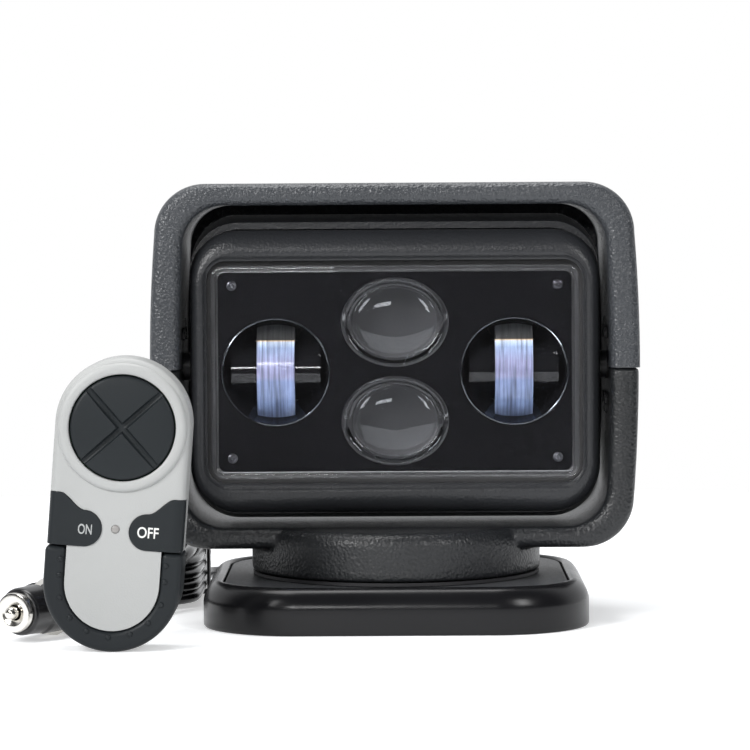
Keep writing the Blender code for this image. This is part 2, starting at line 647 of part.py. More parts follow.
def build_turret_works(skins, pan):
    """Chassis plate, pan motor and control board inside the turret."""
    room_r = TURRET_R - TURRET_WALL
    top = CHASSIS_Z + CHASSIS_H
    plate = tube("turret_chassis", room_r - RUNNING, POST_R + RUNNING, CHASSIS_Z, top, skins["shell"], pan,
                 steps=32)
    shaft_hole = turned("pan_shaft_hole", [(3 * MM, CHASSIS_Z - MM), (3 * MM, top + MM)], None, pan,
                        centre=(0, PAN_CENTRE_DISTANCE), steps=10)
    screws = []
    for i in range(3):
        turn = math.radians(30 + 120 * i)
        spot = (BOSS_PITCH_R * math.cos(turn), BOSS_PITCH_R * math.sin(turn))
        screws.append(screw(f"chassis_screw_{i}", lay_xy, spot, 2.9 * MM, 1.4 * MM, CHASSIS_Z - 1.6 * MM,
                            CHASSIS_Z + FIT, top + 6 * MM, pan))
    add(plate, *screws)
    cut(plate, shaft_hole)
    low = top + FIT
    turned("pan_motor", [(SHAFT_R, SEAT_Z + 0.5 * MM), (SHAFT_R, low), (PAN_MOTOR_R - MM, low),
                         (PAN_MOTOR_R, low + MM), (PAN_MOTOR_R, low + PAN_MOTOR_H - MM),
                         (PAN_MOTOR_R - MM, low + PAN_MOTOR_H)],
           skins["motor"], pan, centre=(0, PAN_CENTRE_DISTANCE), steps=20)
    far_y = BOSS_PITCH_R - BOSS_R - BOARD_GAP
    board_half = (far_y - RETAINER_R - 4 * BOARD_GAP) / 2
    board_y = board_half - far_y
    outline = [(x, y + board_y) for x, y in rounded_rect(BOARD_HALF_W, board_half, 2 * MM, 2)]
    board = prism("control_board", outline, low, low + BOARD_T, skins["board"], pan)
    chips = []
    for i, (x, y, half, rise) in enumerate(((-14, 0, 5, 1.2), (4, 3, 4, 2.4), (17, -3, 3.5, 4.5))):
        chip = rounded_rect(half * MM, half * MM, 0.4 * MM, 1)
        chips.append(prism(f"chip_{i}", [(px + x * MM, py + y * MM + board_y) for px, py in chip],
                           low + BOARD_T / 2, low + BOARD_T + rise * MM, None, pan))
    add(board, *chips)
    pinion_axis = empty("pan_pinion_axis", (0, PAN_CENTRE_DISTANCE, 0), pan)
    gear("pan_pinion", PAN_PINION_TEETH, GEAR_MODULE, SHAFT_R + FIT, SEAT_Z + 0.5 * MM,
         SEAT_Z + RING_GEAR_H, skins["acetal"], pinion_axis, turn=math.radians(-90), half_step=True)


def build_trunnions(skins, pan):
    """Hollow trunnions whose flanges tie the two housings together, and the fixed tilt gear."""
    for sign, hand in ((-1, "left"), (1, "right")):
        def across(p, d, s=sign):
            return (s * d, p[0], p[1] + TILT_Z)
        face = OPENING_HALF_W
        flange = prism(f"trunnion_{hand}", rounded_rect(FLANGE_HALF_Y, FLANGE_HALF_Z, 3 * MM, 2), face,
                       face + FLANGE_T, skins["steel"], pan, lay=across)
        barrel = turned(f"barrel_{hand}", [(TRUNNION_R, TRUNNION_END), (TRUNNION_R, face + MM)], None, pan,
                        lay=across)
        bore = turned(f"bore_{hand}", [(TRUNNION_BORE_R, TRUNNION_END - MM),
                                       (TRUNNION_BORE_R, face + FLANGE_T + MM)], None, pan, lay=across)
        screws = []
        for sy in (-1, 1):
            for sz in (-1, 1):
                spot = (sy * FLANGE_SCREW_Y, sz * FLANGE_SCREW_Z)
                screws.append(screw(f"trunnion_screw_{hand}_{sy}_{sz}", across, spot, 2.7 * MM, 1.4 * MM,
                                    face - 1.1 * MM, face + FIT, YOKE_HALF_W - 4.6 * MM, pan))
        add(flange, barrel)
        cut(flange, bore)
        add(flange, *screws)

    def on_axis(p, d):
        return (d, p[0], p[1] + TILT_Z)

    gear("tilt_gear", TILT_GEAR_TEETH, TILT_MODULE, TRUNNION_R + FIT, -TILT_GEAR_X - TILT_GEAR_T / 2,
         -TILT_GEAR_X + TILT_GEAR_T / 2, skins["acetal"], pan, lay=lambda p, d: on_axis(p, d))


def drum_profile(radius, half_w, side_r, steps=4):
    """Radius and depth pairs of a drum about the tilt axis with round shoulders."""
    left = []
    for i in range(steps + 1):
        t = math.radians(90 * i / steps)
        left.append((radius - side_r + side_r * math.sin(t), -half_w + side_r - side_r * math.cos(t)))
    return left + [(r, -d) for r, d in reversed(left)]


def build_head_shell(skins, tilt):
    """Smooth drum-shaped shell, cut off flat in front, hollow, with bush holes and a motor bracket."""
    shell = turned("head_shell", drum_profile(HEAD_R, HEAD_HALF_W, HEAD_SIDE_R), skins["shell"], tilt,
                   lay=lay_yz, steps=44)
    room = turned("head_room", drum_profile(HEAD_R - HEAD_WALL, HEAD_HALF_W - HEAD_WALL,
                                            HEAD_SIDE_R - HEAD_WALL), None, tilt, lay=lay_yz, steps=28)
    front = prism("front_cut", rounded_rect(120 * MM, 120 * MM, MM, 1), SPLIT_Y - 80 * MM, SPLIT_Y, None,
                  tilt, lay=lay_xz)
    centre = TILT_CENTRE_DISTANCE
    bracket_x = -(TILT_GEAR_X - TILT_GEAR_T / 2 - 0.6 * MM)
    bracket = prism("motor_bracket", [(centre - 9 * MM, -13 * MM), (HEAD_R - 3.2 * MM, -13 * MM),
                                      (HEAD_R - 3.2 * MM, 13 * MM), (centre - 9 * MM, 13 * MM)],
                    bracket_x, bracket_x + BRACKET_T, None, tilt, lay=lay_yz)
    shaft_way = turned("tilt_shaft_way", [(3 * MM, bracket_x - MM), (3 * MM, bracket_x + BRACKET_T + MM)],
                       None, tilt, lay=lay_yz, centre=(centre, 0), steps=10)
    bush_ways = []
    for sign, hand in ((-1, "left"), (1, "right")):
        bush_ways.append(turned(f"bush_way_{hand}", [(BUSH_R + FIT, sign * (HEAD_HALF_W - 6 * MM)),
                                                     (BUSH_R + FIT, sign * (HEAD_HALF_W + MM))],
                                None, tilt, lay=lay_yz, steps=20))
    cut(shell, room, front)
    add(shell, bracket)
    cut(shell, shaft_way, *bush_ways)
    for sign, hand in ((-1, "left"), (1, "right")):
        inner = HEAD_HALF_W - HEAD_WALL - FIT
        profile = [(BUSH_R, HEAD_HALF_W + 0.6 * MM), (BUSH_R, inner), (BUSH_FLANGE_R, inner),
                   (BUSH_FLANGE_R, inner - BUSH_FLANGE_T), (TRUNNION_R + RUNNING, inner - BUSH_FLANGE_T),
                   (TRUNNION_R + RUNNING, HEAD_HALF_W + 0.6 * MM)]
        turned(f"tilt_bush_{hand}", [(r, sign * d) for r, d in profile], skins["acetal"], tilt, lay=lay_yz,
               steps=20, closed=True)
    motor_x = bracket_x + BRACKET_T + FIT
    gear_near = -(TILT_GEAR_X + TILT_GEAR_T / 2)
    turned("tilt_motor", [(SHAFT_R, gear_near - 0.5 * MM), (SHAFT_R, motor_x), (TILT_MOTOR_R - MM, motor_x),
                          (TILT_MOTOR_R, motor_x + MM), (TILT_MOTOR_R, motor_x + TILT_MOTOR_L - MM),
                          (TILT_MOTOR_R - MM, motor_x + TILT_MOTOR_L)],
           skins["motor"], tilt, lay=lay_yz, centre=(centre, 0), steps=20)
    pinion_axis = empty("tilt_pinion_axis", (0, centre, 0), tilt)
    gear("tilt_pinion", TILT_PINION_TEETH, TILT_MODULE, SHAFT_R + FIT, gear_near,
         -(TILT_GEAR_X - TILT_GEAR_T / 2), skins["acetal"], pinion_axis, lay=lay_yz,
         turn=math.radians(180), half_step=True)


def build_bezel(skins, tilt):
    """Front bezel with a rounded outer edge and a stepped recess, the gasket and the carrier plate."""
    e = BEZEL_EDGE
    back_y = SPLIT_Y - FIT
    pocket_y = FLANGE_FRONT_Y - GASKET_T - 2 * FIT
    pocket = HEAD_HALF_W - LAMP_FLANGE_HALF_W - FIT
    pocket_h = BEZEL_HALF_H - LAMP_FLANGE_HALF_H - FIT
    side = HEAD_HALF_W - WINDOW_HALF_W
    level = -LAMP_DROP
    rings = []

    def ring(inset_w, inset_h, corner, y):
        outline = rounded_rect(HEAD_HALF_W - inset_w, BEZEL_HALF_H - inset_h, corner, 6)
        rings.append([(x, y, z + level) for x, z in outline])

    ring(0, 0, BEZEL_CORNER, back_y)
    turns = 4
    crown = side * 0.62
    for i in range(turns + 1):
        t = math.radians(90 * i / turns)
        sink = crown * (1 - math.cos(t))
        drop = e * (1 - math.sin(t))
        ring(sink, e * (1 - math.cos(t)), BEZEL_CORNER - sink, BEZEL_FRONT_Y + drop)
    lip_h = BEZEL_HALF_H - WINDOW_HALF_H
    ring(side - 1.2 * MM, lip_h - 1.4 * MM, WINDOW_CORNER + 1.4 * MM, BEZEL_FRONT_Y + 0.9 * MM)
    ring(side, lip_h, WINDOW_CORNER, BEZEL_FRONT_Y + 2.4 * MM)
    ring(side, lip_h, WINDOW_CORNER, pocket_y)
    ring(pocket, pocket_h, LAMP_FLANGE_CORNER + FIT, pocket_y)
    ring(pocket, pocket_h, LAMP_FLANGE_CORNER + FIT, back_y)
    loft("head_bezel", rings, skins["housing"], tilt, closed=True)
    gasket_front = FLANGE_FRONT_Y - GASKET_T - FIT
    gasket_back = FLANGE_FRONT_Y - FIT
    outer = (LAMP_FLANGE_HALF_W - 0.4 * MM, LAMP_FLANGE_HALF_H - 0.4 * MM, LAMP_FLANGE_CORNER)
    inner = (LENS_HALF_W + 0.5 * MM, LENS_HALF_H + 0.5 * MM, LENS_CORNER + MM)
    sections = []
    for size, y in ((outer, gasket_front), (outer, gasket_back), (inner, gasket_back),
                    (inner, gasket_front)):
        sections.append([(x, y, z + level) for x, z in rounded_rect(*size, 4)])
    loft("bezel_gasket", sections, skins["rubber"], tilt, closed=True)
    carrier_front = SPLIT_Y + FIT
    room_h = math.sqrt((HEAD_R - HEAD_WALL) ** 2 - SPLIT_Y ** 2)
    outer = (HEAD_HALF_W - HEAD_WALL - CARRIER_GAP, room_h - CARRIER_GAP, HEAD_SIDE_R - MM)
    inner = (CASE_HALF_W + 0.5 * MM, CASE_HALF_H + 0.5 * MM, 6 * MM)
    sections = []
    for size, y in ((outer, carrier_front), (outer, carrier_front + CARRIER_T),
                    (inner, carrier_front + CARRIER_T), (inner, carrier_front)):
        drop = level if size is inner else 0.0
        sections.append([(x, y, z + drop) for x, z in rounded_rect(*size, 4)])
    loft("lamp_carrier", sections, skins["shell"], tilt, closed=True)


def build_lamp(skins, lamp):
    """Sealed lamp insert: finned case, board, mask, side modules, projector lenses and lens cover."""
    front = FLANGE_FRONT_Y
    flange_back = front + LAMP_FLANGE_T
    case = tray("lamp_case", LAMP_FLANGE_HALF_W, LAMP_FLANGE_HALF_H, LAMP_FLANGE_CORNER,
                [(0, front), (0, flange_back)], skins["case"], lamp, lay=lay_xz)
    body = tray("case_body", CASE_HALF_W, CASE_HALF_H, 6 * MM,
                [(0, front + MM), (0, CASE_BACK_Y - 3 * MM), (2 * MM, CASE_BACK_Y)], None, lamp, lay=lay_xz)
    cavity = tray("case_cavity", CAVITY_HALF_W, CAVITY_HALF_H, CAVITY_CORNER,
                  [(0, front - MM), (0, CAVITY_FLOOR_Y)], None, lamp, lay=lay_xz)
    fins = []
    for i in range(FIN_COUNT):
        x = (i - (FIN_COUNT - 1) / 2) * (2 * CASE_HALF_W - 22 * MM) / (FIN_COUNT - 1)
        outline = [(px + x, pz) for px, pz in rounded_rect(FIN_T / 2, CASE_HALF_H - 7 * MM, 0.3 * MM, 1)]
        fins.append(prism(f"fin_{i}", outline, CASE_BACK_Y - MM, CASE_BACK_Y + FIN_DEPTH, None, lamp,
                          lay=lay_xz))
    add(case, body)
    cut(case, cavity)
    add(case, *fins)
    mask_back = front - FIT
    mask_front = mask_back - MASK_T
    mask = tray("lamp_mask", LENS_HALF_W - LENS_GLASS_T - 0.5 * MM, LENS_HALF_H - LENS_GLASS_T - 0.5 * MM,
                LENS_CORNER - 2 * MM, [(0, mask_back), (0, mask_front)], skins["gloss"], lamp, lay=lay_xz)
    openings = []
    for sign, hand in ((-1, "left"), (1, "right")):
        spot = (sign * MODULE_X, 0)
        openings.append(turned(f"module_opening_{hand}", [(MODULE_R, mask_back + MM),
                                                          (MODULE_R, mask_front - MM)],
                               None, lamp, lay=lay_xz, centre=spot, steps=28))
        build_side_module(skins, lamp, sign, hand)
    ratio = PROJECTOR_HALF_H / PROJECTOR_HALF_W
    for sign, hand in ((1, "upper"), (-1, "lower")):
        spot = (0, sign * PROJECTOR_Z)
        wide = PROJECTOR_HALF_W + FIT
        rim = [lay_xz(p, mask_back + MM) for p in circle(wide, 28, spot, ratio)]
        back = [lay_xz(p, mask_front - MM) for p in circle(wide, 28, spot, ratio)]
        openings.append(loft(f"projector_opening_{hand}", [rim, back], None, lamp))
        build_projector(skins, lamp, spot, hand, ratio)
    screw_ways = []
    screws = []
    for sx in (-1, 1):
        for sz in (-1, 1):
            spot = (sx * LENS_SCREW_X, sz * LENS_SCREW_Z)
            screw_ways.append(turned(f"lens_screw_way_{sx}_{sz}", [(1.3 * MM, mask_front - MM),
                                                                  (1.3 * MM, front + 10 * MM)],
                                     None, lamp, lay=lay_xz, centre=spot, steps=8))
            screws.append(screw(f"lens_screw_{sx}_{sz}", lay_xz, spot, 2.1 * MM, MM, mask_front - 0.8 * MM,
                                mask_front + FIT, front + 8 * MM, lamp, steps=12))
    cut(mask, *openings)
    add(mask, *screws)
    cut(case, *screw_ways)
    board_y = CAVITY_FLOOR_Y - FIT
    tray("led_board", CAVITY_HALF_W - MM, CAVITY_HALF_H - MM, CAVITY_CORNER - MM,
         [(0, board_y), (0, board_y - BOARD_T)], skins["board"], lamp, lay=lay_xz)
    glass = LENS_FRONT_Y
    foot = front - FIT
    inner = LENS_GLASS_T
    profile = [(2.1 * MM, glass), (1.6 * MM, glass - LENS_RIM), (0.7 * MM, glass - LENS_RIM),
               (0, glass - LENS_RIM + 0.7 * MM), (0, foot), (inner, foot), (inner, glass + inner)]
    tray("lens_cover", LENS_HALF_W, LENS_HALF_H, LENS_CORNER, profile, skins["glass"], lamp, lay=lay_xz)


def build_side_module(skins, lamp, sign, hand):
    """Horizontal drum reflector with a taller curved strip lens round its middle."""
    x = sign * MODULE_X
    half_w = MODULE_R - 0.6 * MM
    back = CAVITY_FLOOR_Y - 2 * FIT - BOARD_T
    centre_y = FLANGE_FRONT_Y + 1.5 * MM + DRUM_R
    drum = []
    for i in range(13):
        t = math.radians(180 * i / 12)
        drum.append((centre_y - DRUM_R * math.sin(t), DRUM_R * math.cos(t)))
    drum = [(back, DRUM_R)] + drum + [(back, -DRUM_R)]
    prism(f"side_reflector_{hand}", drum, x - half_w, x + half_w, skins["gloss"], lamp, lay=lay_yz)
    arc_centre = FLANGE_FRONT_Y - 1.0 * MM + STRIP_R
    top = math.asin(STRIP_HALF_H / STRIP_R)
    outline = []
    for i in range(13):
        t = -top + 2 * top * i / 12
        outline.append((arc_centre - STRIP_R * math.cos(t), STRIP_R * math.sin(t)))
    for i in range(13):
        t = math.radians(180 * i / 12)
        r = DRUM_R + FIT
        outline.append((centre_y - r * math.sin(t), r * math.cos(t)))
    prism(f"strip_lens_{hand}", outline, x - STRIP_HALF_W, x + STRIP_HALF_W, skins["strip"], lamp,
          lay=lay_yz)


def build_projector(skins, lamp, spot, hand, ratio):
    """Domed elliptical projector lens on its barrel."""
    back = CAVITY_FLOOR_Y - 2 * FIT - BOARD_T
    rim_y = FLANGE_FRONT_Y + 2.2 * MM
    crown = LENS_FRONT_Y + LENS_GLASS_T + FIT
    rise = rim_y - crown
    profile = [(0.72, back), (0.86, rim_y + 4 * MM), (1.0, rim_y + 1.2 * MM), (1.0, rim_y)]
    for i in range(1, 6):
        t = math.radians(90 * i / 6)
        profile.append((math.cos(t) ** 0.8, rim_y - rise * math.sin(t)))
    sections = []
    for share, y in profile:
        sections.append([lay_xz(p, y) for p in circle(PROJECTOR_HALF_W * share, 28, spot, ratio)])
    loft(f"projector_lens_{hand}", sections, skins["glass"], lamp, smooth=50)


def u_band(outer_inset, inner_inset, top, steps=10):
    """A U-shaped outline round the remote's lower end, open above the height top."""
    low_centre = REMOTE_HALF_W
    outer_r = REMOTE_HALF_W - outer_inset
    inner_r = REMOTE_HALF_W - inner_inset
    points = [(-outer_r, top)]
    for i in range(steps + 1):
        t = math.radians(180 + 180 * i / steps)
        points.append((outer_r * math.cos(t), low_centre + outer_r * math.sin(t)))
    points.append((outer_r, top))
    points.append((inner_r, top))
    for i in range(steps + 1):
        t = math.radians(360 - 180 * i / steps)
        points.append((inner_r * math.cos(t), low_centre + inner_r * math.sin(t)))
    points.append((-inner_r, top))
    return points


def key_outline(side, grow=0.0):
    """A key that starts outside the remote's edge and narrows in a long curve to its round nose."""
    nose_r = KEY_NOSE_R + grow
    nose_top = KEY_NOSE_Z + nose_r
    edge = REMOTE_HALF_W + 4 * MM
    curve_w = REMOTE_HALF_W - KEY_SHOULDER - KEY_NOSE_X
    rise = KEY_HIGH + grow - nose_top
    points = [(edge, KEY_HIGH + grow)]
    for i in range(5, 0, -1):
        t = i / 5
        points.append((KEY_NOSE_X + curve_w * t - 0.6 * grow, nose_top + rise * t * t * (3 - 2 * t)))
    for i in range(9):
        t = math.radians(90 + 180 * i / 8)
        points.append((KEY_NOSE_X + nose_r * math.cos(t), KEY_NOSE_Z + nose_r * math.sin(t)))
    points.append((edge, KEY_NOSE_Z - nose_r))
    return [(side * x, z) for x, z in points]


def build_remote(skins):
    """Handheld remote: two shells, rubber grip, rocker pad on its plate, two keys, board and battery."""
    axis = empty("remote_frame", (REMOTE_X, REMOTE_Y, 0))
    axis.rotation_euler = (0, REMOTE_LEAN, 0)
    stand = empty("remote_stand", (0, 0, REMOTE_LIFT), axis)
    mid = (0, REMOTE_HALF_H)
    half = (REMOTE_HALF_W, REMOTE_HALF_H, REMOTE_HALF_W)
    d = REMOTE_HALF_D
    front = tray("remote_front_shell", *half, [(3.4 * MM, -d), (1.4 * MM, -d + 0.5 * MM),
                                               (0.4 * MM, -d + 1.8 * MM), (0, -d + 4 * MM), (0, -FIT / 2)],
                 skins["pale"], stand, lay=lay_xz, middle=mid, steps=8)
    rear = tray("remote_rear_shell", *half, [(0, FIT / 2), (0, d - 5 * MM), (0.6 * MM, d - 2.6 * MM),
                                             (2 * MM, d - 0.8 * MM), (4.4 * MM, d)],
                skins["pale"], stand, lay=lay_xz, middle=mid, steps=8)
    seat = PAD_R + PAD_GAP
    ring_profile = [(PAD_RING_R, -d + 1.5 * MM), (PAD_RING_R - 0.4 * MM, -d - PAD_RING_RISE + 0.8 * MM),
                    (PAD_RING_R - 1.6 * MM, -d - PAD_RING_RISE), (seat - MM, -d - PAD_RING_RISE)]
    ring = turned("pad_ring", ring_profile, None, stand, lay=lay_xz, centre=(0, PAD_Z), steps=36)
    pad_hole = turned("pad_hole", [(seat, -d - 4 * MM), (seat, -d + 6 * MM)], None, stand, lay=lay_xz,
                      centre=(0, PAD_Z), steps=36)
    wall = REMOTE_WALL
    room_low = GRIP_TOP + 2.6 * MM
    upper_half = (2 * REMOTE_HALF_H - wall - room_low) / 2
    upper_size = (REMOTE_HALF_W - wall, upper_half, REMOTE_HALF_W - wall)
    upper_mid = (0, room_low + upper_half)
    lower_low = GRIP_BAND + wall + 1.4 * MM
    lower_half = (room_low + 6.7 * MM - lower_low) / 2
    lower_size = (REMOTE_HALF_W - GRIP_BAND - 2 * wall, lower_half, REMOTE_HALF_W - GRIP_BAND - 2 * wall)
    lower_mid = (0, lower_low + lower_half)
    rooms = {}
    for part, near, far in (("front", -d + wall, MM), ("rear", -MM, d - wall)):
        rooms[part] = [tray(f"{part}_room_upper", *upper_size, [(0, near), (0, far)], None, stand,
                            lay=lay_xz, middle=upper_mid, steps=8),
                       tray(f"{part}_room_lower", *lower_size, [(0, near), (0, far)], None, stand,
                            lay=lay_xz, middle=lower_mid, steps=8)]
    groove = prism("grip_groove", u_band(-4 * MM, GRIP_BAND + FIT, GRIP_TOP + FIT), -d - 3 * MM, d + 3 * MM,
                   None, stand, lay=lay_xz)
    grip = prism("remote_grip", u_band(-0.4 * MM, GRIP_BAND, GRIP_TOP), -d - 0.2 * MM, d + 0.2 * MM,
                 skins["slate"], stand, lay=lay_xz)
    bevel(grip, 2.2 * MM, 2)
    key_ways = []
    for side, name in ((-1, "on"), (1, "off")):
        key_ways.append(prism(f"{name}_way", key_outline(side, FIT), -d - 5 * MM, -d + 6.2 * MM, None,
                              stand, lay=lay_xz))
        slide = empty(f"{name}_key_slide", (0, -d, 0), stand)
        key = tray(f"remote_{name}_key", *half, [(3.6 * MM, -0.7 * MM), (1.5 * MM, -0.2 * MM),
                                                 (0.3 * MM, 1.5 * MM), (0, 3.6 * MM), (0, 4.6 * MM)],
                   skins["slate"], slide, lay=lay_xz, middle=mid, steps=8)
        blank = prism(f"{name}_key_blank", key_outline(side), -3 * MM, 5 * MM, None, slide, lay=lay_xz)
        stem = turned(f"{name}_key_stem", [(KEY_STEM_R, 3 * MM), (KEY_STEM_R, d - 3.8 * MM)], None, slide,
                      lay=lay_xz, centre=(side * KEY_NOSE_X, (KEY_LOW + KEY_HIGH) / 2), steps=10)
        keep(key, blank)
        add(key, stem)
    led_way = turned("led_way", [(LED_R + FIT, -d - MM), (LED_R + FIT, -d + 5 * MM)], None, stand,
                     lay=lay_xz, centre=(0, LED_Z), steps=16)
    turned("remote_led_window", [(LED_R - 0.3 * MM, -d - 0.2 * MM), (LED_R, -d), (LED_R, -d + 2.6 * MM)],
           skins["glass"], stand, lay=lay_xz, centre=(0, LED_Z), steps=16)
    cut(front, groove, *rooms["front"], *key_ways, led_way)
    add(front, ring)
    cut(front, pad_hole)
    board_low = room_low + 2.2 * MM
    board_half = (2 * REMOTE_HALF_H - wall - 1.8 * MM - board_low) / 2
    battery_low = board_low + 5 * MM
    door_mid = (0, battery_low + BATTERY_L / 2)
    door_way = tray("door_way", DOOR_HALF_W + FIT, DOOR_HALF_H + FIT, 3 * MM, [(0, d - 5 * MM), (0, d + MM)],
                    None, stand, lay=lay_xz, middle=door_mid, steps=3)
    cut(rear, groove, *rooms["rear"], door_way)
    tray("remote_battery_door", DOOR_HALF_W, DOOR_HALF_H, 3 * MM, [(0, d - wall), (0, d - 0.3 * MM),
                                                                  (0.5 * MM, d)],
         skins["pale"], stand, lay=lay_xz, middle=door_mid, steps=3)
    board_back = -0.4 * MM
    tray("remote_board", REMOTE_HALF_W - wall - 0.5 * MM, board_half, REMOTE_HALF_W - 2 * wall,
         [(0, board_back), (0, board_back - BOARD_T)], skins["board"], stand, lay=lay_xz,
         middle=(0, board_low + board_half), steps=6)
    battery_high = battery_low + BATTERY_L
    turned("remote_battery", [(BATTERY_R - 0.5 * MM, battery_low), (BATTERY_R, battery_low + 0.5 * MM),
                              (BATTERY_R, battery_high), (1.5 * MM, battery_high),
                              (1.5 * MM, battery_high + MM)],
           skins["nickel"], stand, steps=16, centre=(0, board_back + FIT + BATTERY_R))
    build_rocker(skins, stand)


def build_rocker(skins, stand):
    """Four-way rocker: the plate rocks up and down on the board, the pad rocks sideways on the plate."""
    pivot_y = -11 * MM
    plate_axis = empty("rocker_plate_axis", (0, pivot_y, PAD_Z), stand)
    turned("remote_rocker_plate", [(18 * MM, 2.8 * MM), (18 * MM, 4.0 * MM), (3 * MM, 4.0 * MM),
                                   (3 * MM, 8.5 * MM)],
           skins["acetal"], plate_axis, lay=lay_xz, steps=20)
    pad_axis = empty("rocker_pad_axis", (0, 0, 0), plate_axis)
    pad = turned("remote_rocker_pad", [(3.5 * MM, 2.5 * MM), (3.5 * MM, 1.2 * MM),
                                       (PAD_R - 0.4 * MM, 1.2 * MM), (PAD_R, 0.6 * MM),
                                       (PAD_R, -2.2 * MM), (PAD_R - 0.6 * MM, -2.9 * MM),
                                       (14 * MM, -3.5 * MM), (7 * MM, -3.8 * MM)],
                 skins["slate"], pad_axis, lay=lay_xz, steps=32)
    grooves = []
    for turn in (45, 135):
        c, s = math.cos(math.radians(turn)), math.sin(math.radians(turn))
        outline = [(-1.3, 5.5), (1.3, 5.5), (1.3, 2.9), (0.4, 2.2), (-0.4, 2.2), (-1.3, 2.9)]
        sections = []
        for reach in (-24, 24):
            sections.append([((w * s + reach * c) * MM, -h * MM, (-w * c + reach * s) * MM)
                             for w, h in outline])
        grooves.append(loft(f"pad_groove_{turn}", sections, None, pad_axis))
    cut(pad, *grooves)


def build_plug(skins):
    """Lighter plug lying on the floor: body, ring, sprung centre tip and two side contacts."""
    frame = empty("plug_frame", PLUG_NOSE)
    frame.rotation_euler = (0, 0, PLUG_TURN)
    body = turned("plug_body", [(6.2 * MM, 3.4 * MM), (8.8 * MM, 3.4 * MM), (9.6 * MM, 5 * MM),
                                (9.8 * MM, 14 * MM), (PLUG_R, 16 * MM), (PLUG_R, 44 * MM), (9 * MM, 50 * MM),
                                (6 * MM, PLUG_BODY_L), (4.2 * MM, PLUG_BODY_L + 2 * MM),
                                (3.4 * MM, PLUG_BODY_L + 20 * MM)],
                  skins["cable"], frame, lay=lay_xz, steps=24)
    nose_way = turned("plug_nose_way", [(PLUG_TIP_R + 0.6 * MM, MM), (PLUG_TIP_R + 0.6 * MM, 9 * MM)], None,
                      frame, lay=lay_xz, steps=16)
    slots = []
    for sign, name in ((1, "top"), (-1, "bottom")):
        slot = [(-2.8 * MM, sign * 7.4 * MM), (2.8 * MM, sign * 7.4 * MM), (2.8 * MM, sign * 14 * MM),
                (-2.8 * MM, sign * 14 * MM)]
        slots.append(prism(f"contact_slot_{name}", slot, 15 * MM, 36 * MM, None, frame, lay=lay_xz))
    cut(body, nose_way, *slots)
    turned("plug_ring", [(PLUG_RING_R - 0.6 * MM, 0), (PLUG_RING_R, 0.8 * MM), (PLUG_RING_R, 3.1 * MM),
                         (PLUG_TIP_R + 0.6 * MM, 3.1 * MM), (PLUG_TIP_R + 0.6 * MM, 1.2 * MM),
                         (5.4 * MM, 0)],
           skins["nickel"], frame, lay=lay_xz, steps=24, closed=True)
    tip_slide = empty("plug_tip_slide", (0, 0, 0), frame)
    turned("plug_tip", [(1.2 * MM, -3.2 * MM), (2.2 * MM, -2.4 * MM), (PLUG_TIP_R, -MM),
                        (PLUG_TIP_R, 5.6 * MM)], skins["nickel"], tip_slide, lay=lay_xz, steps=16)
    rise = [(16, 7.8), (18, 9.6), (22, 11.2), (27, 11.8), (31, 11.0), (35, 8.6)]
    flat = [(y, 7.7) for y, z in reversed(rise[1:-1])]
    for sign, name in ((1, "top"), (-1, "bottom")):
        sections = []
        for x in (-2.4, 2.4):
            sections.append([(x * MM, y * MM, sign * z * MM) for y, z in rise + flat])
        loft(f"plug_contact_{name}", sections, skins["nickel"], frame)


def smooth_route(points, step):
    """Points at about the given step along a Catmull-Rom curve through the route's own points."""
    route = [Vector(p) * MM for p in points]
    route = [2 * route[0] - route[1]] + route + [2 * route[-1] - route[-2]]
    made = []
    for a, b, c, d in zip(route, route[1:], route[2:], route[3:]):
        count = max(1, round((c - b).length / step))
        for i in range(count):
            t = i / count
            made.append(0.5 * (2 * b + (c - a) * t + (2 * a - 5 * b + 4 * c - d) * t ** 2
                               + (3 * b - a - 3 * c + d) * t ** 3))
    made.append(route[-2])
    return made


def cable(name, points, skin, radius=CORD_R):
    """A round cord through a smooth curve of the route's points."""
    curve = bpy.data.curves.new(name, "CURVE")
    curve.dimensions = "3D"
    curve.bevel_depth = radius
    curve.bevel_resolution = 2
    curve.use_fill_caps = True
    spline = curve.splines.new("POLY")
    route = smooth_route(points, 2.5 * 2 * radius)
    spline.points.add(len(route) - 1)
    for point, place in zip(spline.points, route):
        point.co = (*place, 1.0)
    curve.materials.append(skin)
    made = bpy.data.objects.new(name, curve)
    bpy.context.collection.objects.link(made)
    return made


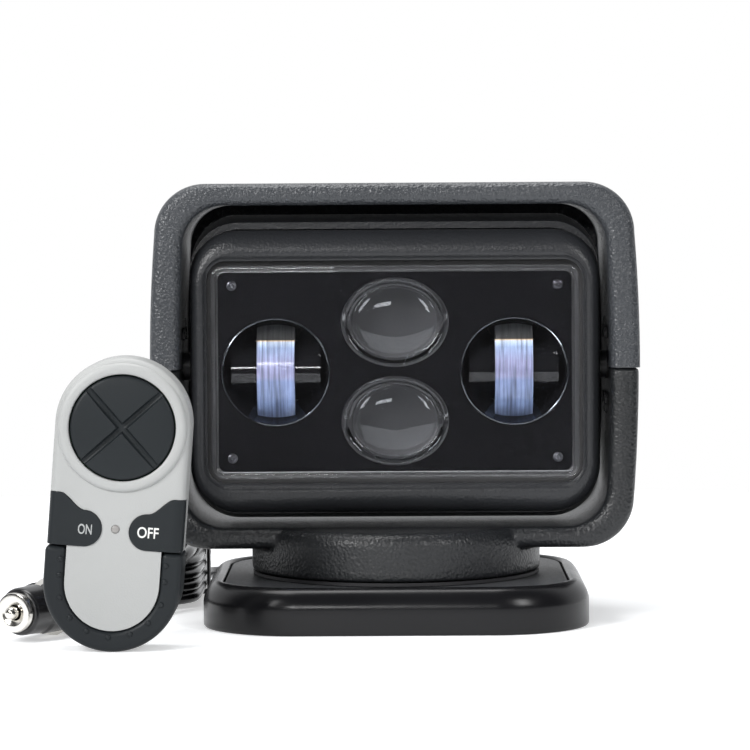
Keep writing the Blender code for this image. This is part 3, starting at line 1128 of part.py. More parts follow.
def build_cord(skins):
    """Cord gland, the lead to the stored hank, the hank and its tie, and the tail to the plug."""
    wall_y = SHOE_HALF_D + FIT
    turned("cord_gland", [(GLAND_R, SHOE_HALF_D - SHOE_WALL - 3.4 * MM), (GLAND_R, wall_y),
                          (GLAND_FLANGE_R, wall_y), (GLAND_FLANGE_R, wall_y + 2.2 * MM),
                          (GLAND_R, wall_y + 3 * MM), (GLAND_TIP_R, GLAND_TIP_Y)],
           skins["rubber"], lay=lay_xz, centre=(GLAND_X, GLAND_Z), steps=16)
    cable("inner_cable", [(-35, 60.8, 10), (-34.5, 50, 9.5), (-30, 38, 9.2), (-22, 27.5, 9.2),
                          (-13, 17, 9.2), (-7.8, 10.2, 9.2), (-3.9, 5.1, 10.9), (-1.8, 2.4, 13.8),
                          (-0.5, 0.6, 17.6), (0, 0, 22), (0, 0, 29)], skins["cable"], CORES_R)
    cable("power_cord_lead", [(-35, 97.3, 10), (-35, 106, 9.4), (-35.6, 115.5, 7.4), (-37.8, 125.5, 4.9),
                              (-42.3, 134.5, 3.2), (-50, 141, 2.6), (-61, 143.7, 2.6), (-72, 141.2, 2.9),
                              (-80, 135.3, 3.6), (-85.2, 128.7, 4.15)], skins["cable"])
    low = TIE_T + 2 * FIT
    tray("power_cord_hank", HANK_HALF_W, HANK_HALF_L, HANK_HALF_W,
         [(3 * MM, low), (0, low + 3 * MM), (0, low + HANK_H - 3 * MM), (3 * MM, low + HANK_H)],
         skins["cable"], middle=(HANK_X, HANK_Y), steps=8)
    mid_z = low + HANK_H / 2
    inner = (HANK_HALF_W + FIT, HANK_H / 2 + FIT, 1.5 * MM)
    outer = (HANK_HALF_W + FIT + TIE_T, HANK_H / 2 + FIT + TIE_T, 2.7 * MM)
    sections = []
    for size, y in ((outer, HANK_Y - TIE_W / 2), (outer, HANK_Y + TIE_W / 2), (inner, HANK_Y + TIE_W / 2),
                    (inner, HANK_Y - TIE_W / 2)):
        sections.append([(x + HANK_X, y, z + mid_z) for x, z in rounded_rect(*size, 4)])
    loft("cord_tie", sections, skins["slate"], closed=True)
    cable("power_cord_tail", [(-113.86, -20.2, 12.2), (-111, -15.2, 12.25), (-108, -10.06, 12.5),
                              (-103.3, -1.6, 13.7), (-98.8, 7, 15.7), (-95.35, 15, 17.9)], skins["cable"])


def main():
    clear_scene()
    skins = colours()
    pan = empty("pan_axis", (0, 0, 0))
    tilt = empty("tilt_axis", (0, 0, TILT_Z), pan)
    lamp = empty("lamp_centre", (0, 0, -LAMP_DROP), tilt)
    build_shoe(skins)
    build_base_plate(skins)
    build_yoke(skins, pan)
    build_turret_works(skins, pan)
    build_trunnions(skins, pan)
    build_head_shell(skins, tilt)
    build_bezel(skins, tilt)
    build_lamp(skins, lamp)
    build_remote(skins)
    build_plug(skins)
    build_cord(skins)
    bpy.context.view_layer.update()


main()
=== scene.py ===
"""Looks of the remote-controlled marine searchlight: camera, light, floor, cord, materials, fine parts."""

import math
import random

import bmesh
import bpy
from mathutils import Matrix, Vector


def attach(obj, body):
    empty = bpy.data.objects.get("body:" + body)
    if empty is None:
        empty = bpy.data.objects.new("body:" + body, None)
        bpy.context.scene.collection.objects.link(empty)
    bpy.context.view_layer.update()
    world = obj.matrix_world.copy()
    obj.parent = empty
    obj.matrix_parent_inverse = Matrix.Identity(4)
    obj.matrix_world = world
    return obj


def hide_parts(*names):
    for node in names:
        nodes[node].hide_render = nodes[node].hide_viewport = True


MM = 0.001

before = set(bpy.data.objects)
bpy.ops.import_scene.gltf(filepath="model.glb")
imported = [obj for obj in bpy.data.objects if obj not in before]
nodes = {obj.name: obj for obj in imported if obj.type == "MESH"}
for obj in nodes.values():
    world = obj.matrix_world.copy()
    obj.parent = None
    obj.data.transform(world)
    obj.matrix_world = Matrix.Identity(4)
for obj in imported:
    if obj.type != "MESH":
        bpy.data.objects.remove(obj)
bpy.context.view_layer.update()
random.seed(7)


# Camera, floor and light

FLOOR_R = 0.62
FLOOR_GLOW = 0.42


def look(location, pitch, yaw, roll):
    """Rotation of a camera at the location that looks along +Y, turned by the three angles in degrees."""
    turn = Matrix.Rotation(math.radians(yaw), 4, "Z") @ Matrix.Rotation(math.radians(90 - pitch), 4, "X")
    return Matrix.Translation(location) @ turn @ Matrix.Rotation(math.radians(roll), 4, "Z")


def add_camera():
    data = bpy.data.cameras.new("camera")
    data.sensor_width = 36
    data.lens = 158.8
    data.clip_start = 0.05
    data.clip_end = 20
    camera = bpy.data.objects.new("camera", data)
    bpy.context.collection.objects.link(camera)
    camera.matrix_world = look((0, -1.4, 0.1738), pitch=2.94, yaw=0.346, roll=-0.35)
    bpy.context.scene.camera = camera


def soft_light(name, location, target, size, power):
    data = bpy.data.lights.new(name, "AREA")
    data.shape = "RECTANGLE"
    data.size, data.size_y = size
    data.energy = power
    lamp = bpy.data.objects.new(name, data)
    bpy.context.collection.objects.link(lamp)
    lamp.location = location
    lamp.rotation_mode = "QUATERNION"
    lamp.rotation_quaternion = (Vector(target) - Vector(location)).to_track_quat("-Z", "Y")


def rays_of(tree, first, *others):
    """1 for rays of the named kinds and 0 for the rest."""
    path = tree.nodes.new("ShaderNodeLightPath")
    total = path.outputs[first]
    for kind in others:
        step = tree.nodes.new("ShaderNodeMath")
        step.operation = "MAXIMUM"
        tree.links.new(total, step.inputs[0])
        tree.links.new(path.outputs[kind], step.inputs[1])
        total = step.outputs[0]
    return total


def add_world():
    """Even light on surfaces, white for the camera, and in gloss and glass a room that is dark in front."""
    world = bpy.data.worlds.new("studio")
    bpy.context.scene.world = world
    world.use_nodes = True
    tree = world.node_tree
    tree.nodes.clear()
    make, link = tree.nodes.new, tree.links.new
    split = make("ShaderNodeSeparateXYZ")
    link(make("ShaderNodeTexCoord").outputs["Generated"], split.inputs[0])
    towards_back = spread(tree, split.outputs["Y"], 0.05, 1.0, -0.05, 0.35)
    room = make("ShaderNodeBackground")
    room.inputs["Color"].default_value = (0.97, 0.98, 1.0, 1)
    link(towards_back, room.inputs["Strength"])
    ambient = make("ShaderNodeBackground")
    ambient.inputs["Color"].default_value = (0.95, 0.97, 1.0, 1)
    ambient.inputs["Strength"].default_value = 0.38
    white = make("ShaderNodeBackground")
    white.inputs["Color"].default_value = (1, 1, 1, 1)
    gloss = make("ShaderNodeMixShader")
    link(rays_of(tree, "Is Glossy Ray", "Is Transmission Ray"), gloss.inputs[0])
    link(ambient.outputs[0], gloss.inputs[1])
    link(room.outputs[0], gloss.inputs[2])
    seen = make("ShaderNodeMixShader")
    link(rays_of(tree, "Is Camera Ray"), seen.inputs[0])
    link(gloss.outputs[0], seen.inputs[1])
    link(white.outputs[0], seen.inputs[2])
    link(seen.outputs[0], make("ShaderNodeOutputWorld").inputs[0])


def add_floor():
    """A round floor that glows a little for the rays that look at it and only reflects light elsewhere."""
    bm = bmesh.new()
    bmesh.ops.create_circle(bm, cap_ends=True, segments=96, radius=FLOOR_R)
    floor = finish_mesh("floor", bm, None)
    skin = bpy.data.materials.new("floor_white")
    skin.use_nodes = True
    tree = skin.node_tree
    tree.nodes.clear()
    lit = tree.nodes.new("ShaderNodeBsdfDiffuse")
    lit.inputs["Color"].default_value = (0.80, 0.81, 0.82, 1)
    glow = tree.nodes.new("ShaderNodeEmission")
    glow.inputs["Color"].default_value = (1, 1, 1, 1)
    scale = tree.nodes.new("ShaderNodeMath")
    scale.operation = "MULTIPLY"
    scale.inputs[1].default_value = FLOOR_GLOW
    seen = rays_of(tree, "Is Camera Ray", "Is Glossy Ray", "Is Transmission Ray")
    tree.links.new(seen, scale.inputs[0])
    tree.links.new(scale.outputs[0], glow.inputs["Strength"])
    both = tree.nodes.new("ShaderNodeAddShader")
    tree.links.new(lit.outputs[0], both.inputs[0])
    tree.links.new(glow.outputs[0], both.inputs[1])
    tree.links.new(both.outputs[0], tree.nodes.new("ShaderNodeOutputMaterial").inputs[0])
    floor.data.materials.append(skin)


def add_lights():
    soft_light("left_box", (-0.85, -0.95, 0.75), (0, 0, 0.1), (0.35, 0.6), 15)
    soft_light("right_box", (0.8, -1.05, 0.7), (0, 0, 0.1), (0.3, 0.55), 6)
    soft_light("top_box", (-0.1, 0.1, 1.2), (0, 0, 0.1), (0.9, 0.5), 9)
    soft_light("front_box", (-0.2, -1.5, 0.46), (0, 0, 0.12), (0.3, 0.14), 3.5)


# Procedural materials

ACRYLIC_IOR = 1.49


def shader_of(name):
    skin = bpy.data.materials.new(name)
    skin.use_nodes = True
    return skin, skin.node_tree, skin.node_tree.nodes["Principled BSDF"]


def noise(tree, scale, detail=3.0, rough=0.5, vector=None, kind="ShaderNodeTexNoise"):
    """A noise or cell texture in the object's own metres, so its grain keeps its real size."""
    texture = tree.nodes.new(kind)
    if kind == "ShaderNodeTexNoise":
        texture.inputs["Detail"].default_value = detail
        texture.inputs["Roughness"].default_value = rough
    texture.inputs["Scale"].default_value = scale
    if vector is None:
        vector = tree.nodes.new("ShaderNodeTexCoord").outputs["Object"]
    tree.links.new(vector, texture.inputs["Vector"])
    return texture


def spread(tree, value, low, high, from_low=0.3, from_high=0.7):
    """The value stretched from one range to another, clamped."""
    step = tree.nodes.new("ShaderNodeMapRange")
    step.inputs["From Min"].default_value = from_low
    step.inputs["From Max"].default_value = from_high
    step.inputs["To Min"].default_value = low
    step.inputs["To Max"].default_value = high
    tree.links.new(value, step.inputs["Value"])
    return step.outputs["Result"]


def blend_colours(tree, factor, one, two):
    mix = tree.nodes.new("ShaderNodeMix")
    mix.data_type = "RGBA"
    mix.inputs["A"].default_value = (*one, 1)
    mix.inputs["B"].default_value = (*two, 1)
    tree.links.new(factor, mix.inputs["Factor"])
    return mix.outputs["Result"]


def bump(tree, shader, height, strength, distance, under=None):
    step = tree.nodes.new("ShaderNodeBump")
    step.inputs["Strength"].default_value = strength
    step.inputs["Distance"].default_value = distance
    tree.links.new(height, step.inputs["Height"])
    if under is not None:
        tree.links.new(under, step.inputs["Normal"])
    tree.links.new(step.outputs["Normal"], shader.inputs["Normal"])
    return step.outputs["Normal"]


def grained(name, dark, light, rough, cell, depth, strength, specular=0.5):
    """Moulded plastic or coated metal with a pebbled grain of the given cell size."""
    skin, tree, shader = shader_of(name)
    shader.inputs["Specular IOR Level"].default_value = specular
    cells = noise(tree, 1 / cell, kind="ShaderNodeTexVoronoi")
    cells.feature = "SMOOTH_F1"
    cells.inputs["Smoothness"].default_value = 0.7
    fine = noise(tree, 2.6 / cell, 2.0)
    broad = noise(tree, 14, 2.0)
    tree.links.new(blend_colours(tree, spread(tree, broad.outputs["Fac"], 0, 1), dark, light),
                   shader.inputs["Base Color"])
    tree.links.new(spread(tree, fine.outputs["Fac"], rough[0], rough[1]), shader.inputs["Roughness"])
    first = bump(tree, shader, cells.outputs["Distance"], strength, depth)
    bump(tree, shader, fine.outputs["Fac"], strength * 0.5, depth * 0.5, first)
    return skin


def smooth_skin(name, colour, rough, metallic=0.0, scale=900, depth=0.00001, specular=0.5):
    """A smooth finish with slight unevenness in its colour, gloss and surface."""
    skin, tree, shader = shader_of(name)
    shader.inputs["Metallic"].default_value = metallic
    shader.inputs["Specular IOR Level"].default_value = specular
    fine = noise(tree, scale, 2.0)
    broad = noise(tree, 25, 3.0)
    darker = tuple(0.88 * c for c in colour)
    tree.links.new(blend_colours(tree, spread(tree, broad.outputs["Fac"], 0, 1), darker, colour),
                   shader.inputs["Base Color"])
    tree.links.new(spread(tree, broad.outputs["Fac"], rough * 0.88, rough * 1.12),
                   shader.inputs["Roughness"])
    bump(tree, shader, fine.outputs["Fac"], 0.35, depth)
    return skin


def glass_skin(name, colour, rough):
    skin, tree, shader = shader_of(name)
    shader.inputs["Base Color"].default_value = (*colour, 1)
    shader.inputs["Transmission Weight"].default_value = 1.0
    shader.inputs["IOR"].default_value = ACRYLIC_IOR
    broad = noise(tree, 40, 2.0)
    tree.links.new(spread(tree, broad.outputs["Fac"], rough * 0.6, rough * 1.4), shader.inputs["Roughness"])
    lets_light_in(tree, shader)
    return skin


def lets_light_in(tree, shader):
    """Shadow rays pass straight through clear plastic, so what lies behind it is lit."""
    path = tree.nodes.new("ShaderNodeLightPath")
    shut = tree.nodes.new("ShaderNodeMath")
    shut.operation = "SUBTRACT"
    shut.inputs[0].default_value = 1.0
    tree.links.new(path.outputs["Is Shadow Ray"], shut.inputs[1])
    tree.links.new(shut.outputs[0], shader.inputs["Alpha"])


def frosted_strip():
    """Fluted lens: a clear dark part on top, a warm line and a bright band under it that are a painted
    highlight, and blue-white flutes with streaks of painted light and shade.
    """
    skin, tree, shader = shader_of("fluted_strip_painted_light")
    shader.inputs["Coat Weight"].default_value = 0.6
    shader.inputs["Coat Roughness"].default_value = 0.05
    shader.inputs["Roughness"].default_value = 0.3
    place = tree.nodes.new("ShaderNodeTexCoord")
    split = tree.nodes.new("ShaderNodeSeparateXYZ")
    tree.links.new(place.outputs["Object"], split.inputs[0])
    height = spread(tree, split.outputs["Z"], 0, 1, 0.0841, 0.1251)
    ramp = tree.nodes.new("ShaderNodeValToRGB")
    stops = ramp.color_ramp.elements
    stops[0].position, stops[0].color = 0.0, (0.18, 0.23, 0.38, 1)
    stops[1].position, stops[1].color = 1.0, (0.045, 0.050, 0.055, 1)
    # Stops from bottom to top; the bright blue-white band at 0.80 and the warm line at 0.812 are a painted
    # highlight along the lens's top edge.
    for at, colour in ((0.16, (0.24, 0.32, 0.54)), (0.40, (0.20, 0.26, 0.46)), (0.45, (0.28, 0.29, 0.46)),
                       (0.60, (0.30, 0.31, 0.50)), (0.74, (0.32, 0.41, 0.62)), (0.80, (0.62, 0.72, 0.90)),
                       (0.812, (0.85, 0.62, 0.36)), (0.822, (0.05, 0.05, 0.05))):
        stops.new(at).color = (*colour, 1)
    tree.links.new(height, ramp.inputs[0])
    squeeze = tree.nodes.new("ShaderNodeMapping")
    squeeze.inputs["Scale"].default_value = (1, 0.0, 0.04)
    tree.links.new(place.outputs["Object"], squeeze.inputs["Vector"])
    # Stretched noise draws dark and light streaks along the flutes: painted light and shade of the flutes.
    flutes = noise(tree, 900, 3.0, 0.6, squeeze.outputs["Vector"])
    clouds = noise(tree, 130, 3.0)
    shade = tree.nodes.new("ShaderNodeMath")
    shade.operation = "MULTIPLY"
    tree.links.new(spread(tree, flutes.outputs["Fac"], 0.25, 0.95, 0.3, 0.62), shade.inputs[0])
    tree.links.new(spread(tree, clouds.outputs["Fac"], 0.8, 1.15), shade.inputs[1])
    mix = tree.nodes.new("ShaderNodeMix")
    mix.data_type = "RGBA"
    mix.blend_type = "MULTIPLY"
    mix.inputs["Factor"].default_value = 1.0
    tree.links.new(ramp.outputs["Color"], mix.inputs["A"])
    tree.links.new(shade.outputs[0], mix.inputs["B"])
    tree.links.new(mix.outputs["Result"], shader.inputs["Base Color"])
    bump(tree, shader, flutes.outputs["Fac"], 0.5, 0.0002)
    return skin


def make_skins():
    return {
        "upper": grained("hammered_charcoal", (0.034, 0.037, 0.042), (0.048, 0.052, 0.058), (0.24, 0.42),
                         1.15 * MM, 0.4 * MM, 1.0),
        # The lower housing with its turret is coloured several times darker than the upper one: painted
        # shade for the turret, which sits in shade under the head.
        "lower": grained("pebbled_charcoal_painted_shade", (0.008, 0.009, 0.010), (0.011, 0.012, 0.014), (0.30, 0.46),
                         1.25 * MM, 0.32 * MM, 0.9),
        "bezel": grained("satin_charcoal", (0.016, 0.017, 0.019), (0.022, 0.023, 0.026), (0.28, 0.42),
                         1.0 * MM, 0.16 * MM, 0.8, specular=0.4),
        "plate": grained("grained_plate", (0.034, 0.036, 0.040), (0.052, 0.054, 0.058), (0.36, 0.55),
                         1.1 * MM, 0.3 * MM, 0.9),
        "rubber": smooth_skin("gloss_rubber", (0.006, 0.006, 0.007), 0.24, scale=500, specular=0.3),
        "gasket": smooth_skin("matt_rubber_and_painted_gap_shade", (0.012, 0.012, 0.013), 0.6),
        "steel": smooth_skin("bright_steel", (0.62, 0.62, 0.60), 0.28, 1.0),
        "acetal": smooth_skin("white_acetal", (0.70, 0.69, 0.65), 0.4),
        "motor": smooth_skin("zinc_can", (0.45, 0.45, 0.46), 0.36, 1.0),
        "board": smooth_skin("green_board", (0.02, 0.14, 0.06), 0.35),
        "cast": grained("die_cast_black", (0.016, 0.016, 0.018), (0.026, 0.026, 0.028), (0.36, 0.5),
                        0.6 * MM, 0.03 * MM, 0.4),
        "gloss": smooth_skin("gloss_black", (0.006, 0.006, 0.007), 0.07, depth=0.000002),
        "pale": grained("pale_grey", (0.325, 0.33, 0.325), (0.365, 0.37, 0.365), (0.42, 0.56),
                        0.6 * MM, 0.05 * MM, 0.7),
        "slate": grained("slate_rubber", (0.010, 0.012, 0.014), (0.014, 0.017, 0.019), (0.38, 0.52),
                         0.5 * MM, 0.03 * MM, 0.6, specular=0.2),
        "cable": smooth_skin("gloss_cable", (0.010, 0.010, 0.011), 0.24, scale=300, depth=0.00003),
        "nickel": smooth_skin("nickel_plate", (0.72, 0.70, 0.66), 0.16, 1.0),
        "cover": glass_skin("clear_cover", (0.97, 0.98, 1.0), 0.006),
        "lens": glass_skin("clear_dome", (0.80, 0.82, 0.85), 0.012),
        "led": smooth_skin("led_window", (0.27, 0.26, 0.25), 0.3),
        "strip": frosted_strip(),
        "ink": smooth_skin("white_print", (0.72, 0.72, 0.70), 0.5),
        "ink_dim": smooth_skin("grey_print", (0.34, 0.35, 0.35), 0.5),
        "screw": smooth_skin("dark_screw", (0.10, 0.10, 0.11), 0.28, 1.0),
        "mirror": smooth_skin("bright_cup", (0.16, 0.17, 0.18), 0.12, 1.0, depth=0.000003),
    }


# CAD nodes that keep their own mesh; the scene's pieces stand for all the others
NODE_SKINS = {
    "steel": "pan_post pan_retainer magnet_keeper",
    "acetal": "pan_ring_gear pan_pinion tilt_gear tilt_pinion remote_rocker_plate",
    "motor": "pan_motor tilt_motor",
    "board": "control_board remote_board",
    "cast": "lamp_case lamp_carrier turret_chassis led_board",
    "gasket": "bezel_gasket",
    "cable": "inner_cable",
    "nickel": "remote_battery",
}


def dress_nodes(skins):
    for key, names in NODE_SKINS.items():
        for name in names.split():
            for place in nodes[name].material_slots:
                place.material = skins[key]


# Shapes, in millimetres until the mesh is made

TILT_Z = 106.0
LAMP_Z = 104.6
TURRET_R = 61
YOKE_HALF_W = 101
YOKE_HALF_D = 36
YOKE_R = 21
YOKE_EDGE_R = 4.2
OPENING_HALF_W = 89.3
OPENING_R = 17
LIP_SIDE = 2.4
LIP_TOP = 6
LIP_BOTTOM = 0.6
HEAD_R = 64
HEAD_HALF_W = 85.5
HEAD_SIDE_R = 20
HEAD_WALL = 2.5
SPLIT_Y = -20
BUSH_WAY_R = 9.1
BEZEL_HALF_H = 59
BEZEL_CORNER = 20
BEZEL_BACK_Y = -20.3
BEZEL_FRONT_Y = -29.5
BEZEL_EDGE = 9
LENS_HALF_W = 76.3
LENS_HALF_H = 44.2
MASK_FRONT_Y = -24.0
MODULE_X = 49.7
MODULE_R = 22.6
DRUM_R = 12.3
DRUM_Y = -8.7
PROJECTOR_HALF_W = 22.4
PROJECTOR_HALF_H = 18.6
PROJECTOR_Z = 20.6
SCREW_X = 67.8
SCREW_Z = 36
GLAND_X = -35
GLAND_Z = 10
GLAND_WAY_R = 5.1


def finish_mesh(name, bm, skin, smooth=38):
    bmesh.ops.recalc_face_normals(bm, faces=bm.faces)
    mesh = bpy.data.meshes.new(name)
    bm.to_mesh(mesh)
    bm.free()
    mesh.shade_smooth()
    mesh.set_sharp_from_angle(angle=math.radians(smooth))
    if skin is not None:
        mesh.materials.append(skin)
    made = bpy.data.objects.new(name, mesh)
    bpy.context.collection.objects.link(made)
    return made


def rounded_rect(half_w, half_h, radius, steps=10):
    radius = max(min(radius, half_w, half_h), 0.05)
    points = []
    for quarter, (sx, sy) in enumerate(((1, 1), (-1, 1), (-1, -1), (1, -1))):
        for i in range(steps + 1):
            turn = math.radians(90 * quarter + 90 * i / steps)
            points.append((sx * (half_w - radius) + radius * math.cos(turn),
                           sy * (half_h - radius) + radius * math.sin(turn)))
    return points


def circle(radius, steps=64, centre=(0, 0), ratio=1.0):
    turns = [2 * math.pi * i / steps for i in range(steps)]
    return [(centre[0] + radius * math.cos(t), centre[1] + ratio * radius * math.sin(t)) for t in turns]


def lay_xy(point, depth):
    return (point[0], point[1], depth)


def lay_xz(point, depth):
    return (point[0], depth, point[1])


def lay_yz(point, depth):
    return (depth, point[0], point[1])


def loft(name, sections, skin=None, closed=False, smooth=38):
    """Skin a row of rings with as many points each."""
    bm = bmesh.new()
    rings = [[bm.verts.new(Vector(p) * MM) for p in section] for section in sections]
    count = len(rings[0])
    pairs = list(zip(rings, rings[1:]))
    if closed:
        pairs.append((rings[-1], rings[0]))
    for one, two in pairs:
        for i in range(count):
            j = (i + 1) % count
            bm.faces.new((one[i], one[j], two[j], two[i]))
    if not closed:
        bm.faces.new(rings[0])
        bm.faces.new(rings[-1])
    return finish_mesh(name, bm, skin, smooth)


def tray(name, half_w, half_h, radius, profile, skin=None, lay=lay_xy, middle=(0, 0), steps=10,
         smooth=38):
    """Rounded rectangles, each inset and set at a depth by one (inset, depth) pair of the profile."""
    sections = []
    for inset, depth in profile:
        outline = rounded_rect(half_w - inset, half_h - inset, radius - inset, steps)
        sections.append([lay((x + middle[0], y + middle[1]), depth) for x, y in outline])
    return loft(name, sections, skin, smooth=smooth)


def turned(name, profile, skin=None, lay=lay_xy, steps=64, centre=(0, 0), closed=False, ratio=1.0):
    """Circles or ellipses, each with the radius and depth of one (radius, depth) pair of the profile."""
    sections = [[lay(p, depth) for p in circle(radius, steps, centre, ratio)] for radius, depth in profile]
    return loft(name, sections, skin, closed)


def prism(name, outline, low, high, skin=None, lay=lay_xy):
    return loft(name, [[lay(p, low) for p in outline], [lay(p, high) for p in outline]], skin)


def arc(centre, radius, first, last, steps):
    """Points on an arc, from one angle to another in degrees."""
    turns = [math.radians(first + (last - first) * i / steps) for i in range(steps + 1)]
    return [(centre[0] + radius * math.cos(t), centre[1] + radius * math.sin(t)) for t in turns]


def apply(piece, smooth=38):
    """Replace the mesh by its evaluated form and drop the modifiers."""
    graph = bpy.context.evaluated_depsgraph_get()
    mesh = bpy.data.meshes.new_from_object(piece.evaluated_get(graph))
    piece.modifiers.clear()
    piece.data = mesh
    mesh.shade_smooth()
    mesh.set_sharp_from_angle(angle=math.radians(smooth))
    return piece


def combine(piece, operation, *tools, smooth=38):
    """Join, cut or intersect with helper shapes, which are removed afterwards."""
    for tool in tools:
        step = piece.modifiers.new("shape", "BOOLEAN")
        step.operation = operation
        step.solver = "EXACT"
        step.object = tool
    apply(piece, smooth)
    for tool in tools:
        bpy.data.objects.remove(tool, do_unlink=True)
    return piece


def round_edges(piece, width, segments=3, smooth=38):
    step = piece.modifiers.new("edges", "BEVEL")
    step.width = width * MM
    step.segments = segments
    step.limit_method = "ANGLE"
    step.angle_limit = math.radians(35)
    return apply(piece, smooth)


def put(piece, body, *stands_for):
    """Let large flat faces set the shading, and hand the piece to its body in place of the CAD nodes."""
    even = piece.modifiers.new("normals", "WEIGHTED_NORMAL")
    even.keep_sharp = True
    graph = bpy.context.evaluated_depsgraph_get()
    mesh = bpy.data.meshes.new_from_object(piece.evaluated_get(graph))
    piece.modifiers.clear()
    piece.data = mesh
    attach(piece, body)
    if stands_for:
        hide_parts(*stands_for)
    return piece


def fine_copy(node, skin, body, smooth=42, soften=0.0):
    """A smooth-shaded stand-in for a CAD node of the same shape, with its sharp edges slightly rounded."""
    bm = bmesh.new()
    bm.from_mesh(nodes[node].data)
    bmesh.ops.remove_doubles(bm, verts=bm.verts, dist=0.001 * MM)
    bmesh.ops.dissolve_limit(bm, angle_limit=math.radians(0.5), verts=bm.verts, edges=bm.edges)
    made = finish_mesh(f"{node}_fine", bm, skin, smooth)
    if soften:
        round_edges(made, soften, 2, smooth)
    return put(made, body, node)


# Base: rubber shoe and plate

def build_base(skins):
    profile = [(1.6, 0), (0.6, 0.2), (0.1, 0.8), (0, 1.8), (0, 4), (0, 8), (0, 10.5), (0.15, 11.8),
               (0.5, 13.1), (1.05, 14.5), (1.8, 15.8), (2.7, 17.0), (3.7, 18.0), (4.8, 18.75),
               (5.9, 19.1), (6.8, 19.15), (7.5, 18.95), (8.0, 18.5), (8.3, 17.8), (8.3, 5)]
    shoe = tray("shoe_body", 80, 73, 40, profile, skins["rubber"], steps=28)
    pockets = [turned("pocket", [(14.1, 1.3), (14.1, 6)], centre=(sx * 42, sy * 35), steps=40)
               for sx in (-1, 1) for sy in (-1, 1)]
    way = turned("way", [(GLAND_WAY_R, 60), (GLAND_WAY_R, 75)], lay=lay_xz, centre=(GLAND_X, GLAND_Z),
                 steps=40)
    combine(shoe, "DIFFERENCE", *pockets, way)
    put(shoe, "base", "rubber_shoe")
    profile = [(2.5, 14.5), (2.5, 5.1), (0, 5.1), (0, 16.4), (0.2, 17.3), (0.8, 18.1), (1.8, 18.4)]
    plate = tray("plate_body", 71.6, 64.6, 31.6, profile, skins["plate"], steps=24)
    holes = [turned("hole", [(12.1, 5), (12.1, 20)], steps=48),
             turned("way", [(GLAND_WAY_R, 58), (GLAND_WAY_R, 66)], lay=lay_xz,
                    centre=(GLAND_X, GLAND_Z), steps=40)]
    combine(plate, "DIFFERENCE", *holes)
    put(plate, "base", "base_plate")


# Yoke with its turret

def yoke_side(edge_z, half_w, corner, side):
    """Outline of half the yoke from its right seam over the top or bottom to its left seam."""
    seam = TILT_Z + side * 0.15
    shoulder = edge_z - side * corner

    def width_at(z):
        return half_w * (1 - 0.042 * ((z - TILT_Z) / 77) ** 2)

    heights = [seam + (shoulder - seam) * i / 8 for i in range(9)]
    right = [(width_at(z), z) for z in heights]
    end_w = width_at(shoulder)
    for i in range(1, 17):
        t = math.radians(90 * i / 16)
        right.append((end_w - corner + corner * math.cos(t), shoulder + side * corner * math.sin(t)))
    middle = [(x * (end_w - corner), edge_z) for x in (0.66, 0.33, 0.0)]
    return right + middle + [(-x, z) for x, z in reversed(right + middle[:-1])]


def yoke_half(name, outer_z, inner_z, side, swell, end_lip, skin):
    outer = yoke_side(outer_z, YOKE_HALF_W + swell, YOKE_R, side)
    inner = yoke_side(inner_z, OPENING_HALF_W, OPENING_R, side)
    shoulder = abs(inner_z - TILT_Z) - OPENING_R
    sections = []
    for (ox, oz), (ix, iz) in zip(outer, inner):
        across = Vector((ox - ix, 0, oz - iz))
        thick = across.length
        across.normalize()
        lip = LIP_SIDE + (end_lip - LIP_SIDE) * max(0, abs(iz - TILT_Z) - shoulder) / OPENING_R
        tip = -thick / 2 - lip
        e = min(1.2, lip / 2)
        points = rounded_rect(thick / 2, YOKE_HALF_D, YOKE_EDGE_R, 6)
        points[7:14] = [(tip + e, YOKE_HALF_D), (tip + 0.3 * e, YOKE_HALF_D - 0.3 * e),
                        (tip, YOKE_HALF_D - e), (tip, 32.1),
                        (tip + 0.6, 31.5), (-thick / 2 - 0.3, 31.5), (-thick / 2, 31.2)]
        sections.append([Vector((ix, y, iz)) + across * (x + thick / 2) for x, y in points])
    return loft(name, sections, skin)


def build_yoke(skins):
    upper = yoke_half("yoke_upper", 183, 174, 1, 0.5, LIP_TOP, skins["upper"])
    lower = yoke_half("yoke_lower", 31.5, 40.2, -1, 0.0, LIP_BOTTOM, skins["lower"])
    profile = [(TURRET_R - 0.8, 20.3), (TURRET_R - 0.2, 20.6), (TURRET_R, 21.2)]
    profile += [(TURRET_R, z) for z in (24, 28, 32)]
    profile += [(TURRET_R - 5 + 5 * math.cos(math.radians(a)), 35 + 5 * math.sin(math.radians(a)))
                for a in (0, 15, 30, 45, 60, 75, 90)]
    foot = turned("foot", profile, steps=128)
    combine(lower, "UNION", foot)
    remesh = lower.modifiers.new("blend", "REMESH")
    remesh.mode = "VOXEL"
    remesh.voxel_size = 0.9 * MM
    remesh.use_smooth_shade = True
    soften = lower.modifiers.new("fillet", "SMOOTH")
    soften.factor = 0.5
    soften.iterations = 10
    apply(lower, 60)
    room = turned("room", [(57.8, 19), (57.8, 35.5), (56.3, 37)], steps=96)
    combine(lower, "DIFFERENCE", room, smooth=60)
    for sign in (-1, 1):
        for half, side in ((upper, "upper"), (lower, "lower")):
            recess = prism("recess", [(y, z + TILT_Z) for y, z in rounded_rect(12.3, 20.3, 3, 4)],
                           sign * 87.3, sign * 92.2, lay=lay_yz)
            combine(half, "DIFFERENCE", recess, smooth=60 if side == "lower" else 38)
    put(upper, "yoke", "upper_housing")
    put(lower, "yoke", "lower_housing")


# Lamp head

def drum(radius, half_w, side_r, steps=14):
    left = []
    for i in range(steps + 1):
        t = math.radians(90 * i / steps)
        left.append((radius - side_r + side_r * math.sin(t), -half_w + side_r - side_r * math.cos(t)))
    flat = [(radius, x * (half_w - side_r)) for x in (-0.5, 0, 0.5)]
    return left + flat + [(r, -d) for r, d in reversed(left)]


